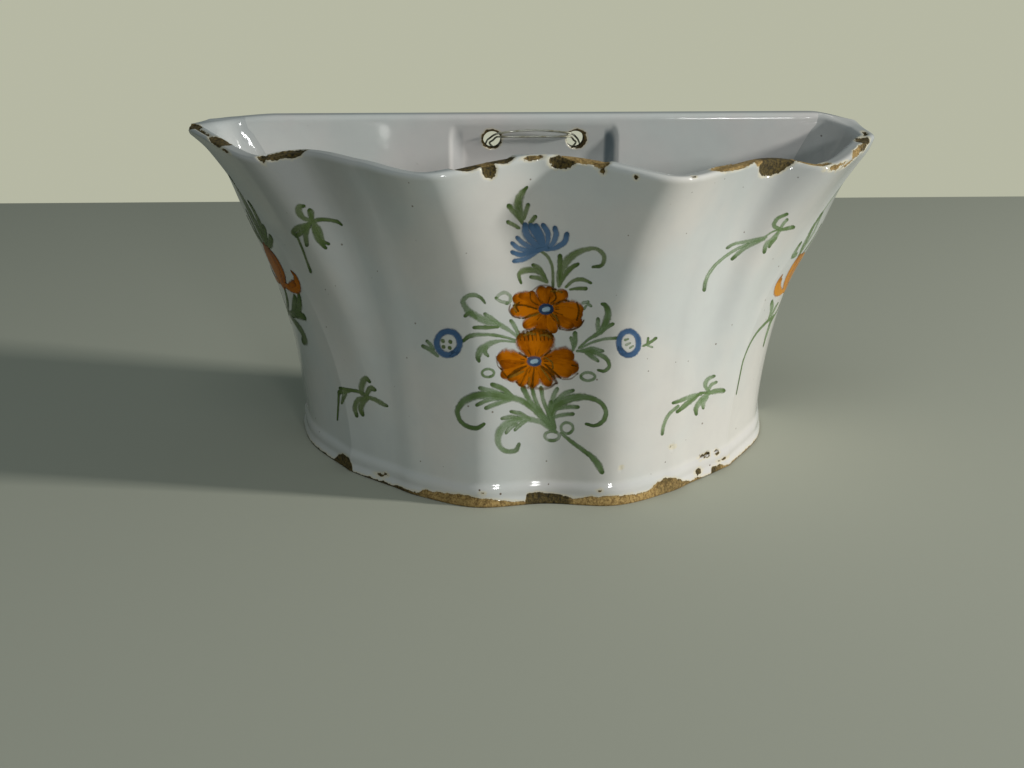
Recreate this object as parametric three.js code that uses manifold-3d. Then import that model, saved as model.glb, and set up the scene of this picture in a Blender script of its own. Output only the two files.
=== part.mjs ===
// A wall-hung flower holder of tin-glazed earthenware. A pressed front wall with waved rim and
// canted ends stands on a flat base slab against a flat back plate, and a wire passed twice
// through two holes in the plate hangs it on a nail.
import * as THREE from "three";
import Module from "manifold-3d";
import { mergeVertices } from "three/addons/utils/BufferGeometryUtils.js";

// Driving dimensions in millimetres: X to the right, Y towards the wall, Z up from the foot
const rimWidth = 245; // between the ears, before their tips are rounded
const rimDepth = 109.5; // from the outer back face to the front lobes
const footWidth = 177;
const footDepth = 95;
const backRimHeight = 116.5;
const wall = 6.5; // pressed front wall
const plate = 8.5; // flat back plate
const slab = 7; // base slab
const lipRound = 1.8;
const footRound = 0.8;
const footFlare = 2; // how far the foot stands out beyond the waist above it
const waistHeight = 9;
const rimTilt = 0.018; // the front rim was cut a little higher on the left

// Stations of the pressed wall, from the middle of the front round the right side to the back
// plate's outer face. foot and rim are [share of the half width, share of the depth], and the
// rim lies below the back rim's height. flare says how late the wall leans out (1 is a plain
// slope), and belly how much it fills out under the rim again.
const stations = {
  middleValley: { foot: [0, 0.974], rim: [0, 0.904], below: 0.8, flare: 3, belly: 0 },
  lobe: { foot: [0.26, 1], rim: [0.302, 1], below: 5.3, flare: 3.2, belly: 0 },
  lobeSide: { foot: [0.475, 0.889], rim: [0.49, 0.804], below: 5, flare: 2.8, belly: 0 },
  sideValley: { foot: [0.576, 0.8], rim: [0.629, 0.63], below: 5.1, flare: 2.5, belly: 0 },
  smallLobe: { foot: [0.661, 0.726], rim: [0.784, 0.575], below: 7.8, flare: 2.4, belly: 0 },
  ear: { foot: [0.757, 0.637], rim: [1, 0.201], below: 3.3, flare: 2.3, belly: 0 },
  endPanel: { foot: [0.927, 0.358], rim: [0.959, 0.073], below: 1.5, flare: 2.7, belly: 2 },
  backCorner: { foot: [0.994, 0.105], rim: [0.906, 0.014], below: 0.3, flare: 1.75, belly: 0.25 },
  backEdge: { foot: [1, 0], rim: [0.873, 0], below: 0, flare: 1.4, belly: 0 },
};

// Hollow pressed into the inner face of the back plate, and the two holes in it
const hollow = { width: 61, slope: 5, start: 3.5, run: 12.5, depth: 3.5 };
const hole = { radius: 3.2, spacing: 30.3, below: 9.3 };

// Hanging wire
const wireRadius = 0.35;
const twist = { radius: 0.74, turns: 3, length: 13.5, lean: 1.2 };

// Fineness of the faceted solids
const columnsPerStation = 5;
const cornerColumns = 4;
const wallRows = 9;
const rowCrowding = 1.5; // above 1 the wall's rows crowd towards the rim
const arcSteps = 3;
const boreSides = 32;
const wireSteps = 190;
const twistSteps = 8; // for each turn
const gapSampling = 0.25;
const gapNeighbours = 2.5; // stretches nearer than this along the wire count as one

// The origin lies in the middle of the foot's depth
const backFace = footDepth / 2;
const plateFace = backFace - plate;

// The outline's two curves at foot and rim, with the stations' flares and bellies
function panel(names, mirrored) {
  const list = mirrored
    ? [...names.slice(1).reverse().map((n) => [n, -1]), ...names.map((n) => [n, 1])]
    : names.map((n) => [n, 1]);
  const footPlace = ([name, side]) => {
    const [across, out] = stations[name].foot;
    return new THREE.Vector3((side * across * footWidth) / 2, backFace - out * footDepth, 0);
  };
  const rimPlace = ([name, side]) => {
    const { rim: [across, out], below } = stations[name];
    const x = (side * across * rimWidth) / 2;
    return new THREE.Vector3(x, backFace - out * rimDepth, backRimHeight - below);
  };
  return {
    foot: new THREE.CatmullRomCurve3(list.map(footPlace), false, "catmullrom"),
    rim: new THREE.CatmullRomCurve3(list.map(rimPlace), false, "catmullrom"),
    flares: list.map(([name]) => stations[name].flare),
    bellies: list.map(([name]) => stations[name].belly),
  };
}

const front = panel(["middleValley", "lobe", "lobeSide", "sideValley", "smallLobe", "ear"], true);
const end = panel(["ear", "endPanel", "backCorner", "backEdge"], false);

// A point of a panel's outer surface at share s along it and height z, before the foot's flare
function panelPoint(part, s, z) {
  const foot = part.foot.getPoint(s);
  const rim = part.rim.getPoint(s);
  const spans = part.flares.length - 1;
  const span = Math.min(Math.floor(s * spans), spans - 1);
  const flare = THREE.MathUtils.lerp(part.flares[span], part.flares[span + 1], s * spans - span);
  const belly = THREE.MathUtils.lerp(part.bellies[span], part.bellies[span + 1], s * spans - span);
  const rise = (z / rim.z) ** flare * (1 + belly * (1 - z / rim.z));
  return new THREE.Vector3(
    THREE.MathUtils.lerp(foot.x, rim.x, rise),
    THREE.MathUtils.lerp(foot.y, rim.y, rise),
    z,
  );
}

// Share along the end panel at which the outline meets a plane of constant Y at height z
function endShareAt(y, z) {
  let low = 0;
  let high = 1;
  for (let i = 0; i < 40; i += 1) {
    const middle = (low + high) / 2;
    if (panelPoint(end, middle, z).y < y) low = middle;
    else high = middle;
  }
  return (low + high) / 2;
}

// The outline's columns from the left plate joint round the front to the right one. side is -1
// or 1 on the end panels and 0 on the front panel, and share runs along the panel.
const columns = [];
const endColumns = 3 * columnsPerStation;
const frontColumns = (front.flares.length - 1) * columnsPerStation;
for (let i = 0; i < endColumns; i += 1) columns.push({ side: -1, share: 1 - i / endColumns });
for (let i = 0; i <= frontColumns; i += 1) columns.push({ side: 0, share: i / frontColumns });
for (let i = 1; i <= endColumns; i += 1) columns.push({ side: 1, share: i / endColumns });

function basePoint(index, z) {
  const { side, share } = columns[index];
  if (side === 0) return panelPoint(front, share, z);
  const point = panelPoint(end, share * endShareAt(plateFace, z), z);
  if (share === 1) point.y = plateFace;
  point.x *= side;
  return point;
}

// Direction along the outline at a column, from its two neighbours or the one it has
function alongAt(index, z) {
  const before = basePoint(Math.max(index - 1, 0), z);
  const after = basePoint(Math.min(index + 1, columns.length - 1), z);
  return after.sub(before).normalize();
}

// Into the wall at a column, as long as a wall 1 mm thick needs it there
function inwardAt(index, z) {
  const { side, share } = columns[index];
  if (side !== 0) {
    // The end panel's sections fan from the ear's mitre to the back plate's face
    const along = alongAt(index, z);
    const square = new THREE.Vector3(-along.y, along.x, 0);
    const fromEar = inwardAt(side < 0 ? endColumns : endColumns + frontColumns, z).normalize();
    const fan = fromEar.lerp(new THREE.Vector3(-side, 0, 0), share).normalize();
    return fan.divideScalar(fan.dot(square));
  }
  const here = basePoint(index, z);
  const before = here.clone().sub(basePoint(index - 1, z)).normalize();
  const after = basePoint(index + 1, z).sub(here).normalize();
  const along = before.clone().add(after).normalize();
  return new THREE.Vector3(-along.y, along.x, 0).divideScalar(along.dot(after));
}

// Rim height of a column: the left is cut higher, and both sides meet the level back rim
function rimAt(index) {
  const { side, share } = columns[index];
  if (side === 0) {
    const rim = front.rim.getPoint(share);
    return rim.z - rimTilt * rim.x;
  }
  const rim = end.rim.getPoint(share * endShareAt(plateFace, backRimHeight));
  return rim.z - side * rimTilt * rim.x * (1 - share);
}

// Outer surface with the foot's flare, moved inwards by depth
function surfacePoint(index, z, depth) {
  const inward = inwardAt(index, z);
  const waist = Math.max(0, 1 - z / waistHeight) ** 2;
  const drawnIn = footFlare * (1 - waist) * (1 - z / backRimHeight);
  return basePoint(index, z).addScaledVector(inward, drawnIn + depth);
}

// A quarter round's steps as [inset, rise], from the side of an edge to its top
function quarterRound(radius) {
  return Array.from({ length: arcSteps + 1 }, (_, i) => {
    const angle = (i / arcSteps) * (Math.PI / 2);
    return [radius * (1 - Math.cos(angle)), radius * Math.sin(angle)];
  });
}

// A closed solid through closed rings of equal count, its two ends filled flat
function loft(rings) {
  const count = rings[0].length;
  const positions = rings.flat().flatMap((p) => [p.x, p.y, p.z]);
  const triangles = [];
  for (let k = 0; k < rings.length - 1; k += 1) {
    for (let i = 0; i < count; i += 1) {
      const next = (i + 1) % count;
      const a = k * count + i;
      const b = k * count + next;
      triangles.push([a, b, b + count], [a, b + count, a + count]);
    }
  }
  const flat = (ring) => {
    const size = new THREE.Box3().setFromPoints(ring).getSize(new THREE.Vector3());
    return ring.map((p) => new THREE.Vector2(p.x, size.z < size.y ? p.y : p.z));
  };
  const cap = (ring, offset, turn) => {
    const contour = flat(ring);
    const clockwise = THREE.ShapeUtils.isClockWise(contour);
    for (const [a, b, c] of THREE.ShapeUtils.triangulateShape(contour, [])) {
      const cross = THREE.ShapeUtils.area([contour[a], contour[b], contour[c]]);
      const flip = (cross < 0) !== clockwise;
      const face = flip ? [a, c, b] : [a, b, c];
      triangles.push((turn ? face.reverse() : face).map((v) => v + offset));
    }
  };
  cap(rings[0], 0, true);
  cap(rings.at(-1), (rings.length - 1) * count, false);
  const corner = (i) => new THREE.Vector3().fromArray(positions, i * 3);
  let volume = 0;
  for (const [a, b, c] of triangles) volume += corner(a).dot(corner(b).cross(corner(c)));
  const geometry = new THREE.BufferGeometry();
  geometry.setAttribute("position", new THREE.Float32BufferAttribute(positions, 3));
  geometry.setIndex(triangles.flatMap((t) => (volume < 0 ? t.reverse() : t)));
  return geometry;
}

const wasm = await Module();
wasm.setup();

function toSolid(geometry) {
  const bare = geometry.clone();
  bare.deleteAttribute("normal");
  bare.deleteAttribute("uv");
  const merged = mergeVertices(bare, 1e-4);
  return new wasm.Manifold(new wasm.Mesh({
    numProp: 3,
    vertProperties: merged.attributes.position.array,
    triVerts: new Uint32Array(merged.index.array),
  }));
}

function toGeometry(solid) {
  const { vertProperties, triVerts } = solid.getMesh();
  const geometry = new THREE.BufferGeometry();
  geometry.setAttribute("position", new THREE.Float32BufferAttribute(vertProperties, 3));
  geometry.setIndex([...triVerts]);
  return geometry;
}

// Pressed front wall: one section across the wall for each column, with a rounded lip on top
function frontWall() {
  const sections = columns.map((_, index) => {
    const lipStart = rimAt(index) - lipRound;
    const rows = Array.from({ length: wallRows }, (_, k) => {
      const share = 1 - (1 - k / wallRows) ** rowCrowding;
      return THREE.MathUtils.lerp(slab, lipStart, share);
    });
    const lip = quarterRound(lipRound);
    const outside = [
      ...rows.map((z) => [0, z]),
      ...lip.map(([inset, rise]) => [inset, lipStart + rise]),
    ];
    const inside = outside.map(([inset, z]) => [wall - inset, z]).reverse();
    return [...outside, ...inside].map(([depth, z]) => surfacePoint(index, z, depth));
  });
  return loft(sections);
}

// Base slab: the foot's outline cut straight along the back plate
function baseSlab() {
  const edge = quarterRound(footRound).reverse();
  const levels = [
    ...edge.map(([inset, rise]) => [inset, footRound - rise]),
    [0, (footRound + slab) / 2],
    [0, slab],
  ];
  return loft(levels.map(([inset, z]) => columns.map((_, i) => surfacePoint(i, z, inset))));
}

// Back plate: the same outline's corners carried on to the outer back face
function plateRing(z, inset) {
  const joint = endShareAt(plateFace, z);
  const right = Array.from({ length: cornerColumns + 1 }, (_, i) => {
    const share = THREE.MathUtils.lerp(joint, 1, i / cornerColumns);
    const point = panelPoint(end, share, z);
    const waist = Math.max(0, 1 - z / waistHeight) ** 2;
    point.x -= inset + footFlare * (1 - waist) * (1 - z / backRimHeight);
    point.y = THREE.MathUtils.clamp(point.y, plateFace + inset, backFace - inset);
    if (i === 0) point.y = plateFace + inset;
    return point;
  });
  const left = right.map((p) => new THREE.Vector3(-p.x, p.y, p.z)).reverse();
  return [...right, ...left];
}

function backPlate() {
  const bottom = quarterRound(footRound).reverse();
  const top = quarterRound(lipRound);
  const risen = [waistHeight / 2, waistHeight, backRimHeight / 3, (backRimHeight * 2) / 3];
  const levels = [
    ...bottom.map(([inset, rise]) => [inset, footRound - rise]),
    ...risen.map((z) => [0, z]),
    ...top.map(([inset, rise]) => [inset, backRimHeight - lipRound + rise]),
  ];
  return loft(levels.map(([inset, z]) => plateRing(z, inset)));
}

// Cutter of the hollow: wide at the plate's inner face, and narrower and lower at its full depth
function hollowCutter() {
  const outline = (halfWidth, drop, y) => {
    const top = backRimHeight - drop;
    const corners = [[-halfWidth, slab], [halfWidth, slab], [halfWidth, top], [-halfWidth, top]];
    return corners.map(([x, z]) => new THREE.Vector3(x, y, z));
  };
  const mouth = outline(hollow.width / 2, hollow.start, plateFace);
  const clear = mouth.map((p) => p.clone().setY(plateFace - hollow.depth));
  const narrow = hollow.width / 2 - hollow.slope;
  const bed = outline(narrow, hollow.start + hollow.run, plateFace + hollow.depth);
  return loft([clear, mouth, bed]);
}

const holeHeight = backRimHeight - hole.below;
const holeThickness = plate - (hollow.depth * (hole.below - hollow.start)) / hollow.run;
const boreMiddle = backFace - holeThickness / 2;

function holeCutter(side) {
  const bore = new THREE.CylinderGeometry(hole.radius, hole.radius, plate * 2, boreSides);
  return bore.translate((side * hole.spacing) / 2, backFace - plate / 2, holeHeight);
}

// Hanging wire, as [across, towards the wall, up] from the middle of the bores. It runs from the
// twisted ends into the left hole, through both holes twice, and back to the twist.
const nearSide = hole.spacing / 2;
const twistTop = new THREE.Vector3(0, 6.6, -9.6);
const routeOut = [
  [-4.5, 6.9, -8.4],
  [-11.5, 6.6, -6.1],
  [-0.7 - nearSide, 4, -2.4],
  [0.4 - nearSide, 0, -0.6],
  [1.8 - nearSide, -3.8, 1.1],
  [3.6 - nearSide, -5.2, 1.35],
  [-6, -5.1, 1.3],
  [0, -5.1, 1.3],
  [6, -5.1, 1.3],
  [nearSide - 3.6, -5.2, 1.35],
  [nearSide - 1.8, -3.8, 1.1],
  [nearSide - 0.4, 0, -0.6],
  [nearSide + 0.7, 4, -2.4],
  [12.4, 5, -5.8],
  [6.5, 4.7, -8.5],
  [0, 4.6, -9.2],
  [-6.5, 4.7, -8.5],
  [-13.2, 5.1, -7],
  [-17.5, 5.5, -4.2],
  [-1.8 - nearSide, 3.9, -1.5],
  [-0.6 - nearSide, 0, 0.3],
  [0.9 - nearSide, -3.9, 1.9],
  [2.5 - nearSide, -6.1, 2.7],
  [-7, -6, 3.4],
  [0, -5.8, 3.7],
  [7, -6, 3.4],
  [nearSide - 2.5, -6.1, 2.7],
  [nearSide - 0.9, -3.9, 1.9],
  [nearSide + 0.6, 0, 0.3],
  [nearSide + 1.8, 3.9, -1.5],
  [nearSide + 2.3, 6, -3.8],
  [12.5, 7.3, -6.4],
  [4.8, 7.4, -8.4],
];

// The twisted ends: both strands wind half a turn apart round one line leaning to the plate
function twistStrand(phase) {
  const steps = twist.turns * twistSteps;
  return Array.from({ length: steps + 1 }, (_, i) => {
    const down = i / steps;
    const angle = phase + down * twist.turns * 2 * Math.PI;
    return new THREE.Vector3(
      twistTop.x + twist.radius * Math.cos(angle),
      twistTop.y - down * twist.lean + twist.radius * Math.sin(angle),
      twistTop.z - down * twist.length,
    );
  });
}

function hangingWire() {
  const points = [
    ...twistStrand(Math.PI).reverse(),
    ...routeOut.map((p) => new THREE.Vector3(...p)),
    ...twistStrand(0),
  ];
  const centre = new THREE.Vector3(0, boreMiddle, holeHeight);
  const route = new THREE.CatmullRomCurve3(points.map((p) => p.clone().add(centre)));
  printLeastGap(route);
  const section = new THREE.Shape().absarc(0, 0, wireRadius, 0, Math.PI * 2);
  return new THREE.ExtrudeGeometry(section, {
    steps: wireSteps,
    curveSegments: 3,
    extrudePath: route,
    bevelEnabled: false,
  });
}

// Least clear distance between two stretches of the wire that aren't neighbours along it
function printLeastGap(route) {
  const samples = Math.round(route.getLength() / gapSampling);
  const apart = Math.round(gapNeighbours / gapSampling);
  const points = route.getSpacedPoints(samples);
  let least = Infinity;
  let place = null;
  for (let i = 0; i < points.length; i += 1) {
    for (let k = i + apart; k < points.length; k += 1) {
      const distance = points[i].distanceTo(points[k]);
      if (distance >= least) continue;
      least = distance;
      place = points[i];
    }
  }
  const gap = least - 2 * wireRadius;
  const where = place.toArray().map((v) => v.toFixed(1)).join(", ");
  console.log(`wire length ${route.getLength().toFixed(1)} mm`);
  console.log(`least gap ${gap.toFixed(2)} mm at ${where}`);
}

const glaze = new THREE.MeshStandardMaterial({ color: 0xd9d9de, roughness: 0.15 });
const backGlaze = new THREE.MeshStandardMaterial({ color: 0xd6d5da, roughness: 0.15 });
const footGlaze = new THREE.MeshStandardMaterial({ color: 0xcfcac2, roughness: 0.3 });
const steel = new THREE.MeshStandardMaterial({ color: 0x7d7b74, roughness: 0.4, metalness: 1 });

function named(name, geometry, material) {
  const mesh = new THREE.Mesh(geometry, material);
  mesh.name = name;
  return mesh;
}

const plateSolid = toSolid(backPlate())
  .subtract(toSolid(hollowCutter()))
  .subtract(toSolid(holeCutter(-1)))
  .subtract(toSolid(holeCutter(1)));

const holder = new THREE.Group();
holder.add(named("base_slab", baseSlab(), footGlaze));
holder.add(named("back_plate", toGeometry(plateSolid), backGlaze));
holder.add(named("front_wall", frontWall(), glaze));
holder.add(named("hanging_wire", hangingWire(), steel));

export default holder;
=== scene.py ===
"""A wall-hung flower holder of tin-glazed earthenware with painted sprigs and its hanging wire.
Places are worked out in millimetres, and a piece's mesh is then put in metres."""

import itertools
import math

import bmesh
import bpy
import numpy as np
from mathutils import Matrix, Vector


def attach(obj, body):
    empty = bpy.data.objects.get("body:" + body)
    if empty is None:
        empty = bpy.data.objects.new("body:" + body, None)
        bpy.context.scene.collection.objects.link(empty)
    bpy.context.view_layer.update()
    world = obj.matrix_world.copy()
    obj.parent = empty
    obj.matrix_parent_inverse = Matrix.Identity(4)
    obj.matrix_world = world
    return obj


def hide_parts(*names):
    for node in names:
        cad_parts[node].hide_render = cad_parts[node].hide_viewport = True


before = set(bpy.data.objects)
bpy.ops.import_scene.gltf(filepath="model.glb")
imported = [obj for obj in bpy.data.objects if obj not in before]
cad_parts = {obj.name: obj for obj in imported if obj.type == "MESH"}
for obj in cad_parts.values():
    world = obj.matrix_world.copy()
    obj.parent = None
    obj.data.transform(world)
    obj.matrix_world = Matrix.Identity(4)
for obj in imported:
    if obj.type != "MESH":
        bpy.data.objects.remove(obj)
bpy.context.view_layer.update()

# Camera at the photograph's place: a little left of the middle, looking down by 18 degrees.
view_down = 0.314
view_turn = 0.037
camera_data = bpy.data.cameras.new("camera")
camera_data.sensor_width = 36
camera_data.lens = 49.22
camera = bpy.data.objects.new("camera", camera_data)
camera.location = (-0.0268, -0.4702, 0.1799)
camera.rotation_euler = (math.pi / 2 - view_down, 0, -view_turn)
bpy.context.scene.collection.objects.link(camera)
bpy.context.scene.camera = camera
bpy.context.scene.view_settings.view_transform = "Standard"


# Base slab: rolled clay cut to the foot's outline. The pressed wall and the back plate were
# luted to it, so its edge goes on as their outer face, dipped in the same white glaze and
# wiped bare underneath.
MM = 0.001
foot_width, foot_depth = 177, 95
rim_width, rim_depth = 245, 109.5
back_rim_height = 116.5
wall, plate, slab = 6.5, 8.5, 7
back_face = foot_depth / 2
plate_face = back_face - plate
foot_round = 0.8
foot_flare, waist_height = 2, 9
rim_tilt = 0.018

# Stations round the right half: foot and rim as shares of half the width and of the depth,
# how far the rim lies below the back rim, and how late and how full the wall leans out
stations = {
    "middle valley": ((0, 0.974), (0, 0.904), 0.8, 3, 0),
    "lobe": ((0.26, 1), (0.302, 1), 5.3, 3.2, 0),
    "lobe side": ((0.475, 0.889), (0.49, 0.804), 5, 2.8, 0),
    "side valley": ((0.576, 0.8), (0.629, 0.63), 5.1, 2.5, 0),
    "small lobe": ((0.661, 0.726), (0.784, 0.575), 7.8, 2.4, 0),
    "ear": ((0.757, 0.637), (1, 0.201), 3.3, 2.3, 0),
    "end panel": ((0.927, 0.358), (0.959, 0.073), 1.5, 2.7, 2),
    "back corner": ((0.994, 0.105), (0.906, 0.014), 0.3, 1.75, 0.25),
    "back edge": ((1, 0), (0.873, 0), 0, 1.4, 0),
}


def station_row(name, side):
    foot, rim, below, flare, belly = stations[name]
    foot_place = [side * foot[0] * foot_width / 2, back_face - foot[1] * foot_depth]
    rim_place = [side * rim[0] * rim_width / 2, back_face - rim[1] * rim_depth]
    return [*foot_place, *rim_place, back_rim_height - below, flare, belly]


names = list(stations)
half_front = names[:6]
front_rows = np.array(
    [station_row(name, -1) for name in half_front[:0:-1]]
    + [station_row(name, 1) for name in half_front]
)
end_rows = np.array([station_row(name, 1) for name in names[5:]])


def along_stations(rows, share):
    """Stations blended at shares from 0 to 1: places smoothly, flare and belly straight."""
    spans = len(rows) - 1
    span = np.clip(np.floor(share * spans).astype(int), 0, spans - 1)
    t = (share * spans - span)[..., None]
    longer = np.vstack([2 * rows[0] - rows[1], rows, 2 * rows[-1] - rows[-2]])
    a, b, c, d = (longer[span + k] for k in range(4))
    bend = (2 * a - 5 * b + 4 * c - d) * t + (3 * b - a - 3 * c + d) * t**2
    smooth = b + 0.5 * t * (c - a + bend)
    straight = b + t * (c - b)
    return np.concatenate([smooth[..., :5], straight[..., 5:]], axis=-1)


def panel_place(rows, share, z):
    """Plan place of a panel's outer face at a share along it and a height."""
    foot_x, foot_y, rim_x, rim_y, rim_z, flare, belly = np.moveaxis(along_stations(rows, share), -1, 0)
    height = np.maximum(z, 0) / rim_z
    rise = height**flare * (1 + belly * (1 - height))
    return np.stack([foot_x + (rim_x - foot_x) * rise, foot_y + (rim_y - foot_y) * rise], axis=-1)


def end_share_at(y, z):
    """Share along the end panel at which it meets a plane of constant Y, for many heights."""
    low = np.zeros_like(z)
    high = np.ones_like(z)
    for _ in range(40):
        middle = (low + high) / 2
        short = panel_place(end_rows, middle, z)[..., 1] < y
        low = np.where(short, middle, low)
        high = np.where(short, high, middle)
    return (low + high) / 2


joint_heights = np.linspace(0, back_rim_height, 400)
joint_shares = end_share_at(plate_face, joint_heights)


def unit(vector):
    return vector / np.linalg.norm(vector, axis=-1, keepdims=True)


def outline_place(side, share, z):
    """Plan place on the front panel (side 0) or on an end panel up to the plate's face."""
    joint = np.interp(z, joint_heights, joint_shares)
    on_front = panel_place(front_rows, share, z)
    on_end = panel_place(end_rows, share * joint, z)
    on_end[..., 0] *= side
    return np.where(side[..., None] == 0, on_front, on_end)


def square_inwards(side, share, z):
    """Level direction square to the outline, into the clay."""
    step = 0.002
    ahead = outline_place(side, np.minimum(share + step, 1), z)
    behind = outline_place(side, np.maximum(share - step, 0), z)
    along = unit((ahead - behind) * np.where(side == -1, -1, 1)[..., None])
    return np.stack([-along[..., 1], along[..., 0]], axis=-1)


mitre_run = 0.05
glaze_roll, roll_height, roll_half = 0.55, 5.4, 2.8  # where the glaze ran down and gathered


def inwards(side, share, z):
    """Into the clay, as long as a wall of 1 mm needs there. The sections fan through the
    ears' mitres, so that the wall keeps its thickness round them."""
    square = square_inwards(side, share, z)
    hand = np.where(side == 0, np.where(share < 0.5, -1, 1), side)
    last = np.where(hand < 0, 0.0, 1.0)
    nought = np.zeros_like(share * z)
    front_square = square_inwards(nought, last + nought, z)
    end_square = square_inwards(hand + nought, nought, z)
    mitre = unit(front_square + end_square)
    beside_ear = np.clip(1 - np.abs(share - last) / mitre_run, 0, 1) ** 2
    to_plate = np.stack([-hand + nought, nought], axis=-1)
    front_fan = square + (mitre - square) * beside_ear[..., None]
    end_fan = mitre + (to_plate - mitre) * share[..., None]
    fan = unit(np.where(side[..., None] == 0, front_fan, end_fan))
    return fan / np.sum(fan * square, axis=-1, keepdims=True)


def drawn_in(z):
    """How far the wall above stands in from the flared foot."""
    waist = np.clip(1 - z / waist_height, 0, None) ** 2
    roll = glaze_roll * np.clip(1 - ((z - roll_height) / roll_half) ** 2, 0, None) ** 2
    return foot_flare * (1 - waist) * (1 - z / back_rim_height) - roll


def clay_points(side, share, z, depth):
    """Points of the outer face moved inwards by depth."""
    plan = outline_place(side, share, z)
    plan = plan + inwards(side, share, z) * (drawn_in(z) + depth)[..., None]
    return np.concatenate([plan, (z + 0 * side)[..., None]], axis=-1)


# Columns round the outline from the left plate joint over the front to the right one, close
# enough for the glaze to mirror smoothly
rim_step = 0.8
end_columns = 62
fine_shares = np.linspace(0, 1, 3000)
fine_rim = along_stations(front_rows, fine_shares)[:, 2:4]
rim_run = np.concatenate([[0], np.cumsum(np.linalg.norm(np.diff(fine_rim, axis=0), axis=1))])
front_columns = 2 * round(rim_run[-1] / rim_step / 2) + 1
front_shares = np.interp(np.linspace(0, rim_run[-1], front_columns), rim_run, fine_shares)
end_shares = np.linspace(0, 1, end_columns + 1)[1:]
column_side = np.concatenate([-np.ones(end_columns), np.zeros(front_columns), np.ones(end_columns)])
column_share = np.concatenate([end_shares[::-1], front_shares, end_shares])
column_count = len(column_share)


# Bare band along the foot's edge on the front, as place across, height and dirt, and the pits
# above it as place across, height, half length, half height and dirt
foot_band = np.array([
    (-120, 0.4, 0.7), (-77, 0.7, 0.8), (-75.5, 2.6, 0.9), (-72, 4.6, 0.9), (-68, 4.4, 0.9),
    (-66.5, 2.6, 0.9), (-65.5, 0.5, 0.9), (-58, 0.7, 0.8), (-42, 1.3, 0.6),
    (-41, 2.6, 0.3), (-37, 2.8, 0.3), (-29, 3.9, 0.35), (-20, 3.0, 0.3), (-10, 1.5, 0.3),
    (-6.6, 1.3, 0.4), (-6, 3.9, 0.95), (0, 3.7, 1.0), (3, 3.2, 0.95), (7, 2.6, 0.75),
    (9, 2.1, 0.3), (15, 3.0, 0.1), (22, 3.2, 0.1), (35, 2.6, 0.1), (38, 4.6, 0.4),
    (41, 5.3, 0.55), (45, 4.3, 0.5), (48, 2.0, 0.5), (51, 0.7, 0.5), (53, 1.2, 0.5),
    (55, 0.5, 0.5), (59, 0.5, 0.6), (60, 2.3, 0.8), (64, 1.7, 0.5), (67, 0.7, 0.4), (120, 0.4, 0.4),
])
foot_pits = [
    (54.5, 2.9, 1.3, 1.0, 0.9), (56.6, 7.2, 1.3, 0.7, 0.7), (58.4, 7.3, 1.0, 0.9, 0.8),
    (62.4, 6.6, 0.9, 0.9, 0.9), (65, 3.2, 1.6, 0.4, 0.6), (-54, 3.5, 0.6, 0.5, 0.9),
    (-56, 2.5, 1.2, 0.5, 0.8), (17.8, 5.0, 0.5, 0.35, 0.5), (44, 15.5, 0.8, 0.5, 0.6),
    (25, 12.6, 0.45, 0.4, 0.3), (-20.8, 4.9, 0.7, 0.4, 0.5),
]


unworn = -9.0  # mm short of bare clay, where nothing is worn


def oval_wear(across, height, ovals):
    """How far inside bare clay each place lies, in mm, and how dirty the clay is there."""
    bare = np.full(np.broadcast(across, height).shape, unworn)
    dirt = np.zeros(bare.shape)
    for middle, level, half_length, half_height, grime in ovals:
        reach = np.hypot((across - middle) / half_length, (height - level) / half_height)
        inside = min(half_length, half_height) * (1 - reach)
        dirt = np.where(inside > bare, grime, dirt)
        bare = np.maximum(bare, inside)
    return bare, dirt


def worn_foot(across, z):
    """Wear of the foot's edge and just above it on the front."""
    bare, dirt = oval_wear(across, z, foot_pits)
    band = np.interp(across, foot_band[:, 0], foot_band[:, 1]) - z
    dirt = np.where(band > bare, np.interp(across, foot_band[:, 0], foot_band[:, 2]), dirt)
    return np.maximum(bare, band), dirt


end_foot_run = 55  # along an end panel's foot
corner_x = stations["ear"][0][0] * foot_width / 2
column_foot_x = np.where(
    column_side == 0, along_stations(front_rows, column_share)[:, 0],
    column_side * (corner_x + end_foot_run * column_share),
)


def strips(rows, columns, wrap=False):
    """Four-cornered faces of a grid of points, row by row."""
    k = np.arange(rows if wrap else rows - 1)[:, None]
    c = np.arange(columns - 1)[None, :]
    low = k * columns
    high = ((k + 1) % rows) * columns
    corners = [low + c, low + c + 1, high + c + 1, high + c]
    return np.stack(corners, axis=-1).reshape(-1, 4).tolist()


same_place = 1e-7
sharp_edge = math.radians(50)


def clay_piece(name, points, faces, fields):
    """A closed mesh object in metres, smooth but for its sharp edges, with its point fields."""
    mesh = bpy.data.meshes.new(name)
    mesh.from_pydata((points.reshape(-1, 3) * MM).tolist(), [], faces)
    for field, values in fields.items():
        attribute = mesh.attributes.new(field, "FLOAT", "POINT")
        attribute.data.foreach_set("value", np.ascontiguousarray(values, np.float32).ravel())
    solid = bmesh.new()
    solid.from_mesh(mesh)
    bmesh.ops.remove_doubles(solid, verts=solid.verts, dist=same_place)
    bmesh.ops.recalc_face_normals(solid, faces=solid.faces)
    for face in solid.faces:
        face.smooth = True
    solid.to_mesh(mesh)
    solid.free()
    mesh.set_sharp_from_angle(angle=sharp_edge)
    piece = bpy.data.objects.new(name, mesh)
    bpy.context.scene.collection.objects.link(piece)
    return piece


def quarter_round(radius, steps):
    """Inset and rise from the side of an edge to its top."""
    angle = np.linspace(0, math.pi / 2, steps + 1)
    return radius * (1 - np.cos(angle)), radius * np.sin(angle)


def over_columns(rows):
    """Side and share of every column, over as many rows."""
    shape = (rows, column_count)
    return np.broadcast_to(column_side, shape), np.broadcast_to(column_share, shape)


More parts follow.
